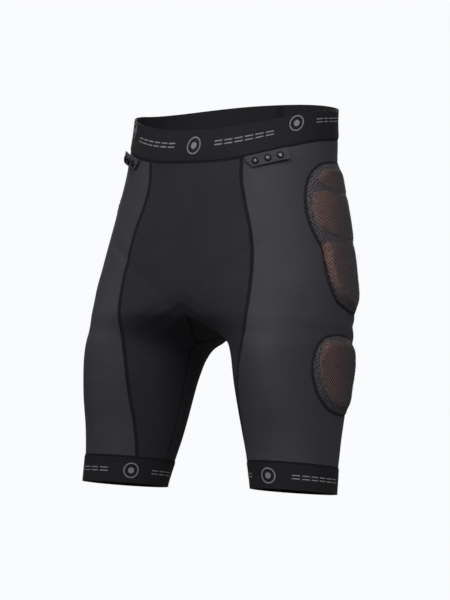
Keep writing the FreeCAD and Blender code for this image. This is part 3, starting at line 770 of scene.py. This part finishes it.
def make_seams():
    low, top = fixed(LEGBAND + 2.6 * MM), waist(WAISTBAND + 2.6 * MM)
    for name, side, turn in LEGS:
        strip = seam_strip(front_seams[side], low, top, 900, FLATLOCK_WIDTH)
        seam_piece("front_seam_" + name, [(turn(strip), ALL_SIDES)], FLATLOCK_WIDTH)
    rear = seam_strip(rear_seam, low, top, 900, FLATLOCK_WIDTH)
    inner_top = float(under(np.array([GUSSET_WIDTH]), np.zeros(1))[0, 2]) - SEAM_WIDTH
    inner = seam_strip(fixed(180), low, fixed(inner_top), 280)
    for name, _, turn in LEGS:
        seam_piece("rear_seam_" + name, [(turn(rear), ALL_SIDES)], FLATLOCK_WIDTH)
        seam_piece("inseam_" + name, [(turn(inner), ALL_SIDES)])
    middle = patch(lambda z: seam_angle(SEAM_WIDTH / 2 + 0 * z, z, 1), centre_back,
                   fixed(gusset_tip(1) + SEAM_WIDTH), top, 3, 600)
    both = np.concatenate([middle, flip(middle)[:, ::-1][:, 1:]], 1)
    seam_piece("centre_back_seam", [(both, ALL_SIDES)])
    make_ring_seams()
    make_gusset_seam()


def make_ring_seams():
    low, high = waist(WAISTBAND + 2.5 * MM), waist(WAISTBAND + 0.1 * MM)
    left = patch(centre_front, centre_back, low, high, 700, 4)
    seam_piece("waist_seam", [(across_rows(grid), "start end") for grid in (left, flip(left))])
    low, high = fixed(LEGBAND + 0.1 * MM), fixed(LEGBAND + 2.5 * MM)
    halves = [patch(fixed(start), fixed(start + 180), low, high, 360, 4)
              for start in (-90, 90)]
    for name, _, turn in LEGS:
        seam_piece("hem_seam_" + name, [(across_rows(turn(grid)), "start end")
                                        for grid in halves])


def make_gusset_seam():
    spread = SEAM_WIDTH / 2 / GUSSET_WIDTH
    inner, outer = diamond(1 - spread), diamond(1 + spread)
    strips = []
    for k in range(4):
        after = (k + 1) % 4

        def corner(u, v, k=k, after=after):
            spot = between(between(inner[k], inner[after], v), between(outer[k], outer[after], v),
                           u)
            return spot[..., 0], spot[..., 1]
        strips.append((plan_patch(corner, 6, 170), "start end"))
    seam_piece("gusset_seam", strips)


# ---- impact pads

# pocket outlines on the side of the leg, as depth and height in mm, as in the CAD source
HIP = np.array([(40, 393), (-2, 389), (-24, 376), (-35, 354), (-38, 328), (-32, 303), (-21, 284),
                (-19, 262), (-14, 242), (0, 225), (36, 217), (60, 218), (74, 232), (78, 262),
                (75, 300), (74, 340), (66, 376)], float) * MM
THIGH = np.array([(34, 186), (0, 185), (-24, 178), (-36, 163), (-39, 144), (-35, 127),
                  (-25, 110), (-8, 98), (14, 94), (44, 97), (59, 110), (66, 134), (66, 158),
                  (56, 178)], float) * MM
OUTLINE_STEPS = 180
# the foam's lobes inside the pockets
HIP_LOBES = [
    np.array([(-16, 366), (-10, 377), (12, 384), (42, 382), (58, 374), (60, 364), (30, 360),
              (0, 361)], float) * MM,
    np.array([(-27, 344), (-18, 352), (6, 354), (36, 353), (62, 349), (66, 330), (64, 310),
              (40, 305), (8, 305), (-20, 309), (-29, 324)], float) * MM,
    np.array([(-21, 286), (-8, 294), (20, 296), (56, 295), (68, 276), (66, 246), (54, 231),
              (30, 227), (8, 231), (-7, 243), (-15, 262)], float) * MM,
]
THIGH_LOBES = [
    np.array([(-22, 172), (-8, 177), (20, 178), (46, 174), (58, 154), (56, 128), (46, 108),
              (22, 103), (0, 106), (-14, 118), (-24, 136), (-27, 154)], float) * MM,
]


def smooth_loop(points, steps=OUTLINE_STEPS):
    """Even points on a closed curve through some points."""
    count = len(points)
    turn = np.linspace(0, count, steps * 4, endpoint=False)
    i = turn.astype(int)
    u = (turn - i)[:, None]
    p0, p1, p2, p3 = (points[(i + k) % count] for k in (-1, 0, 1, 2))
    curve = 0.5 * (2 * p1 + (p2 - p0) * u + (2 * p0 - 5 * p1 + 4 * p2 - p3) * u ** 2
                   + (3 * p1 - p0 - 3 * p2 + p3) * u ** 3)
    closed = np.concatenate([curve, curve[:1]])
    along = run_length(closed)
    even = np.linspace(0, along[-1], steps, endpoint=False)
    return np.stack([np.interp(even, along, closed[:, k]) for k in (0, 1)], -1)


def polar(outline, inset, rings, power=0.8):
    """Rings from an outline's centre to just inside it, with each point's distance to the edge."""
    loop = smooth_loop(outline)
    ahead, behind = np.roll(loop, -1, 0), np.roll(loop, 1, 0)
    tangent = (ahead - behind) / np.linalg.norm(ahead - behind, axis=1, keepdims=True)
    inward = np.stack([-tangent[:, 1], tangent[:, 0]], -1)
    centre = loop.mean(0)
    inward *= np.sign(((centre - loop) * inward).sum(1).mean())
    edge = loop + inward * inset
    radius = (1 - (1 - np.linspace(0.04, 1, rings)) ** 1.6) ** power
    spots = centre + (edge - centre) * radius[:, None, None]
    gap = np.linalg.norm(spots[:, :, None] - edge[None, None, ::3], axis=-1).min(-1)
    return spots, gap, centre


def on_side(spots):
    return dressed(at_side(spots[..., 0], spots[..., 1]))


def add_lens(mesh, spots, centre, outer_height, inner_height):
    """Closed form over polar rings, with a top and a bottom height above the fabric."""
    points, away = on_side(spots)
    middle, middle_away = on_side(centre)
    top, base = mesh.sheet(points + away * outer_height[..., None],
                           points + away * inner_height[..., None], spots, "high", closed=True)
    ring_uv = np.concatenate([spots[0], spots[0, :1]])
    mesh.fan(top[0], middle + middle_away * outer_height[0].mean(), ring_uv, centre)
    mesh.fan(base[0], middle + middle_away * inner_height[0].mean(), ring_uv, centre)


COVER_TOP, COVER_INSET = 7.0 * MM, 1.4 * MM
COVER_THICK = 0.45 * MM
BACKING = 1.3 * MM


def lobe_gap(spots, lobe):
    """Distance of points from the edge of a foam lobe; negative outside it."""
    loop = smooth_loop(lobe, 90)
    away = np.linalg.norm(spots[..., None, :] - loop, axis=-1).min(-1)
    ahead = np.roll(loop, -1, 0)
    x, y = spots[..., None, 0], spots[..., None, 1]
    crosses = (loop[:, 1] > y) != (ahead[:, 1] > y)
    rise = np.where(ahead[:, 1] == loop[:, 1], 1, ahead[:, 1] - loop[:, 1])
    at = loop[:, 0] + (y - loop[:, 1]) / rise * (ahead[:, 0] - loop[:, 0])
    inside = (crosses & (x < at)).sum(-1) % 2 == 1
    return np.where(inside, away, -away)


def cover_height(gap, spots, lobes):
    """How far the cover stands above the side panel: a tent over the lobes, dipped between."""
    rise = smoothstep(gap, -3 * MM, 12 * MM)
    nearest = np.max([lobe_gap(spots, lobe) for lobe in lobes], axis=0)
    dip = 1.5 * MM * smoothstep(-nearest, -1 * MM, 9 * MM) * smoothstep(gap, 3 * MM, 14 * MM)
    ripple = 0.1 * MM * np.sin(spots[..., 1] / (5.5 * MM) + spots[..., 0] / (9 * MM))
    return 0.9 * MM + (COVER_TOP - 0.9 * MM) * rise + ripple * rise - dip


def make_pocket(name, outline, lobes):
    """Mesh cover, lobed foam pad on its backing cloth, and binding, on both legs."""
    for side, mirror, _ in LEGS:
        mesh = Mesh()
        spots, gap, centre = polar(outline, COVER_INSET, 46)
        height = cover_height(gap, spots, lobes)
        add_lens(mesh, spots, centre, height, height - COVER_THICK)
        make_piece(f"{name}_cover_{side}", mesh, COVER_NET, "mesh", mirror=mirror, sharp=60)
        mesh = Mesh()
        spots, gap, centre = polar(outline, 6 * MM, 30)
        quilt = 0.12 * MM * np.sin(spots[..., 0] / (1.6 * MM)) * np.sin(spots[..., 1] / (1.6 * MM))
        backing = BACKING * np.sqrt(smoothstep(gap, -1 * MM, 3 * MM)) + quilt
        mesh.slot = 1
        add_lens(mesh, spots, centre, np.maximum(backing, 0.5 * MM), 0.25 * MM + 0 * gap)
        mesh.slot = 0
        for lobe in lobes:
            spots, gap, middle = polar(lobe, 0, 30)
            edge = smooth_loop(outline)
            room = np.linalg.norm(spots[:, :, None] - edge[None, None], axis=-1).min(-1)
            roof = cover_height(room - COVER_INSET, spots, lobes) - COVER_THICK - 0.3 * MM
            swell = np.sqrt(np.clip(1 - (1 - np.clip(gap / (6 * MM), 0, 1)) ** 2, 0, 1))
            rise = BACKING - 0.25 * MM + (roof - BACKING) * swell
            add_lens(mesh, spots, middle, np.maximum(rise, BACKING - 0.2 * MM),
                     BACKING - 0.35 * MM + 0 * gap)
        pad = make_piece(f"{name}_pad_{side}", mesh, [IMPACT, BACKING_CLOTH], "impact_foam",
                         mirror=mirror, sharp=60)
        make_binding(f"{name}_binding_{side}", outline, mirror)


def make_binding(name, outline, mirror):
    """Rolled binding round a pocket: a flattened cord with a stitched dip along its middle."""
    loop = smooth_loop(outline, 420)
    points, away = on_side(loop[None])
    points, away = points[0], away[0]
    tangent = np.roll(points, -1, 0) - np.roll(points, 1, 0)
    tangent /= np.linalg.norm(tangent, axis=1, keepdims=True)
    across = np.cross(away, tangent)
    steps = 14
    turn = np.linspace(0, math.tau, steps, endpoint=False)
    along = run_length(points)
    stitch = 1 + 0.07 * np.cos(math.tau * along / along[-1] * round(along[-1] / (2.4 * MM)))
    wide = 1.55 * MM * np.cos(turn)[:, None] * stitch
    high = 0.55 * MM + 1.15 * MM * np.sin(turn)[:, None] * stitch
    rows = points + across * wide[..., None] + away * high[..., None]
    rows = np.concatenate([rows, rows[:1]])
    uv = np.stack(np.broadcast_arrays(np.linspace(0, 8 * MM, steps + 1)[:, None], along[None]),
                  -1)
    mesh = Mesh()
    mesh.grid(rows, uv, closed=True)
    make_piece(name, mesh, BINDING, "binding", mirror=mirror, sharp=80)


# ---- seat pad

SEAT_WIDTH = np.array([(-64, 20), (-45, 27), (-16, 34), (10, 40), (40, 50), (62, 56),
                       (80, 50)], float) * MM


def crowned(name, corner, columns, rows, face, thickness, material, slot, edge=5 * MM,
            groove=None, mirror=1):
    """Pad on the inside of the crotch: full in the middle and thinned towards its edges."""
    grid = plan_patch(corner, columns, rows)
    points, away = dressed(grid)
    u, v = shares(columns, rows)
    wide = np.linalg.norm(grid[:, -1] - grid[:, 0], axis=-1)[:, None]
    long = np.linalg.norm(grid[-1] - grid[0], axis=-1)[None, :]
    reach = np.minimum(np.minimum(u, 1 - u) * wide, np.minimum(v, 1 - v) * long)
    depth = thickness * (0.25 + 0.75 * np.sqrt(smoothstep(reach, 0, edge)))
    if groove is not None:
        depth = depth * (1 - 0.45 * groove(grid))
    mesh = Mesh()
    mesh.sheet(points + away * face, points + away * (face - depth)[..., None], cloth_uv(grid))
    make_piece(name, mesh, material, slot, mirror=mirror, sharp=60)


def make_seat_pad():
    face = -FABRIC - 0.35 * MM
    inner = face - 2.75 * MM

    def base(u, v):
        y = -64 * MM * (1 - v) + 80 * MM * v
        return (2 * u - 1) * read_line(SEAT_WIDTH, y), y

    def wing(u, v):
        y = 16 * MM * (1 - v) + 70 * MM * v
        return 10 * MM * (1 - u) + (read_line(SEAT_WIDTH, y) - 9 * MM) * u, y

    def nose(u, v):
        return (2 * u - 1) * 15 * MM, -52 * MM * (1 - v) + 8 * MM * v

    def quilting(grid):
        return np.exp(-(np.sin(grid[..., 1] / (6 * MM)) / 0.25) ** 2) * 0.6
    crowned("seat_pad_base", base, 60, 70, face, 2.5 * MM, SEAT_CLOTH, "seat_fabric")
    for side, mirror, _ in LEGS:
        crowned("seat_pad_insert_" + side, wing, 36, 44, inner, 4.4 * MM, SEAT_FOAM, "seat_foam",
                groove=quilting, mirror=mirror)
    crowned("seat_pad_insert_front", nose, 30, 44, inner, 4.4 * MM, SEAT_FOAM, "seat_foam",
            groove=quilting)


# ---- snap tabs

TAB_FRONT, TAB_SIDE = (73 * MM, -88 * MM), (117 * MM, -55 * MM)
TAB_RADIUS, TAB_LENGTH, TAB_DROP, TAB_THICK = 180 * MM, 52 * MM, 14 * MM, 1.6 * MM
TAB_STANDOFF, TAB_GAP, TAB_CORNER, TAB_ROUNDED = 3.2 * MM, 1.6 * MM, 6 * MM, 0.8 * MM
SNAP_PITCH, SNAP_COUNT = 15 * MM, 3


def tab_frame():
    """Origin and axes of the left tab: along its sewn edge, up, and away from the body."""
    (x0, y0), (x1, y1) = TAB_FRONT, TAB_SIDE
    edge = waist(WAISTBAND + TAB_GAP)
    along = np.array([x1 - x0, y1 - y0, edge(y1) - edge(y0)])
    along /= np.linalg.norm(along)
    middle = np.array([(x0 + x1) / 2, (y0 + y1) / 2])
    z = np.array([edge(middle[1])])
    angle = np.degrees(np.arctan2(middle[1], middle[0] - oval(z)[1]))
    point = at_angle(z, angle)[0]
    away = np.array([y1 - y0, x0 - x1, 0])
    away /= np.linalg.norm(away)
    return point + away * TAB_STANDOFF, along, np.cross(away, along), away


def on_tab(across, down, height):
    """Points of the tab's curved sheet: distance along, distance down and height over it."""
    origin, along, up, away = tab_frame()
    turn = across / TAB_RADIUS
    radius = TAB_RADIUS + height
    local = np.stack(np.broadcast_arrays(radius * np.sin(turn), -down,
                                         radius * np.cos(turn) - TAB_RADIUS), -1)
    return origin + local @ np.stack([along, up, away])


def make_tab(side, name):
    u, v = shares(96, 34)
    u = 2 * u - 1
    slant = np.clip((v - 0.25) / 0.75, 0, 1) ** 1.3 * TAB_CORNER
    front = -TAB_LENGTH / 2 + slant
    across = front * (1 - u) / 2 + TAB_LENGTH / 2 * (1 + u) / 2
    down = v * TAB_DROP + 0 * u
    margin = np.minimum(np.minimum((1 - u) / 2, (1 + u) / 2) * TAB_LENGTH,
                        np.minimum(v + 0.4, 1 - v) * TAB_DROP)
    near = np.clip(margin / TAB_ROUNDED, 0, 1)
    round_off = np.sqrt(near * (2 - near))
    line = np.abs(margin - 1.9 * MM)
    stitch = 0.5 + 0.5 * np.cos(math.tau * (across + down) / (2.6 * MM))
    sunk = 0.22 * MM * np.exp(-(line / (0.45 * MM)) ** 2) * (0.4 + 0.6 * stitch)
    middle = TAB_THICK / 2
    half = TAB_THICK / 2 * (0.12 + 0.88 * round_off)
    mesh = Mesh()
    mesh.sheet(on_tab(across, down, middle + half - sunk),
               on_tab(across, down, middle - half), np.stack([across, down], -1))
    make_piece("snap_tab_" + name, mesh, TAB, "tab_fabric", "tab_" + name, mirror=side, sharp=60)


# sections of a snap socket, radius and height above the tab: black body, bright spring seat
SOCKET_BODY = [(4.0, 0.0), (4.0, 0.7), (3.85, 1.3), (3.5, 1.8), (3.05, 2.1), (2.6, 2.18),
               (2.25, 2.1), (2.05, 1.85), (2.0, 1.5)]
SOCKET_SEAT = [(2.0, 1.5), (2.0, 1.0), (2.45, 0.95), (2.65, 0.75), (2.65, 0.5), (2.3, 0.42),
               (1.5, 0.45), (1.2, 0.75), (0.9, 0.95), (0.4, 1.0)]


def make_snaps(side, name):
    mesh = Mesh()
    turn = np.linspace(0, math.tau, 40, endpoint=False)
    for k in range(SNAP_COUNT):
        spot = (k - (SNAP_COUNT - 1) / 2) * SNAP_PITCH
        for slot, section in enumerate((SOCKET_BODY, SOCKET_SEAT)):
            profile = np.array(section) * MM
            across = spot + profile[:, :1] * np.cos(turn)[None]
            down = TAB_DROP / 2 + profile[:, :1] * np.sin(turn)[None]
            rows = on_tab(across, down, TAB_THICK + profile[:, 1:] + 0 * across)
            mesh.slot = slot
            ring = mesh.grid(rows, np.stack([across, down], -1), closed=True)
            end, level_end = (ring[0], 0.0) if slot == 0 else (ring[-1], profile[-1, 1])
            mesh.fan(end, on_tab(np.array(spot), np.array(TAB_DROP / 2),
                                 np.array(TAB_THICK + level_end)))
    make_piece("snap_sockets_" + name, mesh, [LACQUER, BRIGHT], "snap_metal", "tab_" + name,
               mirror=side, sharp=35)


def make_tabs():
    for name, side, _ in LEGS:
        make_tab(side, name)
        make_snaps(side, name)
        finish_node("snap_springs_" + name, BRIGHT)
        finish_node("snap_caps_" + name, LACQUER)


def finish_node(name, material):
    """Give a CAD node that stays in view its own material."""
    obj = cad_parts[name]
    obj.data.materials.clear()
    obj.data.materials.append(material)


# ---- care label

LABEL_THICK = 0.3 * MM


def make_label():
    low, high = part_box("care_label")
    u, v = shares(20, 30)
    x = low.x + (high.x - low.x) * u + 0 * v
    z = low.z + (high.z - low.z) * v + 0 * u
    curl = -1.6 * MM * (1 - v) ** 2 * np.cos((u - 0.5) * 2.4) + 0.3 * MM * np.sin(u * 9) * (1 - v)
    y = (low.y + high.y) / 2 + curl
    grid = np.stack([x, y + 0 * x, z], -1)
    half = np.array([0, LABEL_THICK / 2, 0])
    mesh = Mesh()
    mesh.sheet(grid - half, grid + half, np.stack([x, z], -1))
    make_piece("care_label", mesh, SATIN, "label_satin", "label")


# ---- woven marks

MARK_HEIGHT, MARK_SINK = 0.22 * MM, 0.1 * MM
MARK_PITCH = 127 * MM
BADGE_OUTER, BADGE_INNER, BADGE_DOT = 9.2 * MM, 7.8 * MM, 3.6 * MM
DASH_COUNT, DASH_PITCH, DASH_LENGTH = 6, 12.4 * MM, 9.6 * MM
DASH_HEIGHT, DASH_SPREAD = 1.3 * MM, 1.9 * MM


class Band:
    """Outer face of a band, found by the distance round it and the height up it."""

    def __init__(self, angle, low, high, tall, side=None):
        self.angle, self.low, self.high, self.tall, self.side = angle, low, high, tall, side
        self.share = np.linspace(0, 1, 721)
        self.around = run_length(self.place(self.share, 0.5 + 0 * self.share))

    def place(self, share, v):
        z = self.low(0 * v) * (1 - v) + self.high(0 * v) * v
        for _ in range(4):
            points = at_angle(z, self.angle(z, share))
            z = self.low(points[..., 1]) * (1 - v) + self.high(points[..., 1]) * v
        return points

    def at(self, around, up):
        """Points and directions; a band with no side is mirrored about its middle."""
        if self.side is None:
            turned, mirror = np.abs(around), np.where(around < 0, -1, 1)
        else:
            turned, mirror = np.mod(around, self.around[-1]), self.side
        points = self.place(np.interp(turned, self.around, self.share), up / self.tall)
        sign = np.ones(points.shape)
        sign[..., 0] = mirror
        return points * sign, normal(points) * sign


def add_mark(mesh, band, around, up, closed=False):
    """Low raised mark over a grid of distances round the band and heights up it."""
    points, away = band.at(around, up)
    mesh.sheet(points + away * (BAND_OUT + MARK_HEIGHT), points + away * (BAND_OUT - MARK_SINK),
               np.stack([around, up], -1), "low high" if closed else ALL_SIDES, closed)


def add_badge(mesh, band, around, up):
    """Plain ring with a dot in it."""
    turn = np.linspace(0, math.tau, 48, endpoint=False)[None, :]
    for inner, outer in ((BADGE_INNER, BADGE_OUTER), (0.2 * MM, BADGE_DOT)):
        radius = np.linspace(inner, outer, 3)[:, None]
        add_mark(mesh, band, around + radius * np.cos(turn), up + radius * np.sin(turn),
                 closed=True)


def add_dashes(mesh, band, middle, up):
    """Row of plain double dashes."""
    for k in range(DASH_COUNT):
        centre = middle + (k - (DASH_COUNT - 1) / 2) * DASH_PITCH
        for lift in (-DASH_SPREAD, DASH_SPREAD):
            u, v = np.meshgrid(np.linspace(-0.5, 0.5, 9), np.linspace(-0.5, 0.5, 3))
            add_mark(mesh, band, centre + u * DASH_LENGTH + v * 0.6 * MM,
                     up + lift + v * DASH_HEIGHT)


def make_marks():
    """Generic woven pattern of the bands: rings and rows of dashes."""
    band = Band(lambda z, u: centre_front(z) * (1 - u) + centre_back(z) * u, waist(WAISTBAND),
                waist(0), WAISTBAND)
    mesh = Mesh()
    for k in range(-2, 3):
        spot = 8.5 * MM + k * MARK_PITCH
        add_badge(mesh, band, spot, 17 * MM + 7 * MM * smoothstep(abs(spot), 0, 0.14))
    for k in range(-3, 3):
        spot = 8.5 * MM + (k + 0.5) * MARK_PITCH
        if abs(spot) + DASH_PITCH * DASH_COUNT / 2 < band.around[-1]:
            add_dashes(mesh, band, spot, 17 * MM + 6 * MM * smoothstep(abs(spot), 0.03, 0.17))
    make_piece("waistband_marks", mesh, MARK, "thread", stands_in=False, merge=1e-6)
    for side, name, start in ((1, "left", 0.6 * MM), (-1, "right", -43 * MM)):
        band = Band(lambda z, u: -90 + 360 * u, fixed(0), fixed(LEGBAND), LEGBAND, side)
        mesh = Mesh()
        for k in range(2):
            add_badge(mesh, band, start + k * MARK_PITCH, 15 * MM)
            add_dashes(mesh, band, start + (k + 0.5) * MARK_PITCH, 15 * MM)
        add_dashes(mesh, band, start - 0.5 * MARK_PITCH, 15 * MM)
        make_piece("leg_band_marks_" + name, mesh, MARK, "thread", stands_in=False,
                   merge=1e-6)


FLOOR, STAGE_RADIUS, STAGE_TALL, STAGE_BEND = -0.5, 7.0, 7.0, 1.5


def make_stage():
    """Plain pale floor that bends up into a round backdrop, bright enough to look blank."""
    pale = Nodes("pale_paper")
    speck = pale.noise(pale.place(), 1.5)
    paper = pale.mix(speck, shade((251, 252, 254)), shade((253, 254, 255)))
    for socket, value in (("Base Color", shade((20, 20, 20))), ("Roughness", 0.9),
                          ("Specular IOR Level", 0.0), ("Emission Color", paper),
                          ("Emission Strength", 0.98)):
        pale.put(pale.shader, socket, value)
    bend = math.pi / 2 * np.arange(9) / 8
    radius = np.concatenate([[0.05], STAGE_RADIUS + STAGE_BEND * (np.sin(bend) - 1),
                             [STAGE_RADIUS]])
    height = np.concatenate([[FLOOR], FLOOR + STAGE_BEND * (1 - np.cos(bend)), [STAGE_TALL]])
    turn = np.linspace(0, math.tau, 64, endpoint=False)
    rings = np.stack(np.broadcast_arrays(radius[:, None] * np.cos(turn),
                                         radius[:, None] * np.sin(turn), height[:, None]), -1)
    mesh = Mesh()
    mesh.fan(mesh.grid(rings, rings[..., :2], closed=True)[0], (0, 0, FLOOR))
    backdrop = build("backdrop", mesh, [pale.material])
    backdrop.visible_diffuse = backdrop.visible_glossy = backdrop.visible_shadow = False


CAMERA_AZIMUTH, CAMERA_ELEVATION, CAMERA_ROLL = 33.8, -5.41, 3.93
CAMERA_DISTANCE, CAMERA_LENS = 3.743, 187.4
CAMERA_TARGET = Vector((0, 0, 0.225))
FRAMING = (3.1 * MM, 0.85 * MM)


def sight(azimuth, elevation):
    """Direction out from the shorts; 0, 0 is straight ahead of their front."""
    a, e = math.radians(azimuth), math.radians(elevation)
    return Vector((math.sin(a) * math.cos(e), -math.cos(a) * math.cos(e), math.sin(e)))


def make_camera():
    back = sight(CAMERA_AZIMUTH, CAMERA_ELEVATION)
    right = sight(CAMERA_AZIMUTH + 90, 0)
    up = back.cross(right)
    roll = math.radians(CAMERA_ROLL)
    axes = (right * math.cos(roll) + up * math.sin(roll),
            up * math.cos(roll) - right * math.sin(roll), back)
    data = bpy.data.cameras.new("camera")
    data.lens = CAMERA_LENS
    data.clip_end = 50
    camera = bpy.data.objects.new("camera", data)
    place = CAMERA_TARGET + right * FRAMING[0] + up * FRAMING[1] + back * CAMERA_DISTANCE
    camera.matrix_world = Matrix.Translation(place) @ Matrix(axes).transposed().to_4x4()
    bpy.context.scene.collection.objects.link(camera)
    bpy.context.scene.camera = camera


def make_lights():
    """Soft light on the shorts, strongest from the front and their left."""
    world = bpy.data.worlds.new("studio")
    world.use_nodes = True
    background = world.node_tree.nodes["Background"]
    background.inputs["Color"].default_value = (1, 1, 1, 1)
    background.inputs["Strength"].default_value = WORLD_LIGHT
    bpy.context.scene.world = world
    bpy.context.scene.view_settings.view_transform = "Standard"
    for name, azimuth, elevation, size, power in SOFTBOXES:
        away = sight(azimuth, elevation)
        data = bpy.data.lights.new(name, "AREA")
        data.size, data.energy = size, power
        light = bpy.data.objects.new(name, data)
        light.location = CAMERA_TARGET + away * LIGHT_DISTANCE
        light.rotation_euler = away.to_track_quat("Z", "Y").to_euler()
        bpy.context.scene.collection.objects.link(light)


WORLD_LIGHT, LIGHT_DISTANCE = 0.09, 2.4
# name, angle round the shorts from their front, angle up, width in metres and power in watts
SOFTBOXES = [("key", 48, 30, 1.6, 20), ("fill", 4, 28, 1.6, 14), ("left", -58, 22, 1.2, 5),
             ("rear", 214, 34, 1.8, 24)]

make_camera()
make_panels()
make_gusset()
make_bands()
make_inner_trim()
make_seams()
make_pocket("hip", HIP, HIP_LOBES)
make_pocket("thigh", THIGH, THIGH_LOBES)
make_seat_pad()
make_tabs()
make_label()
make_marks()
make_stage()
make_lights()
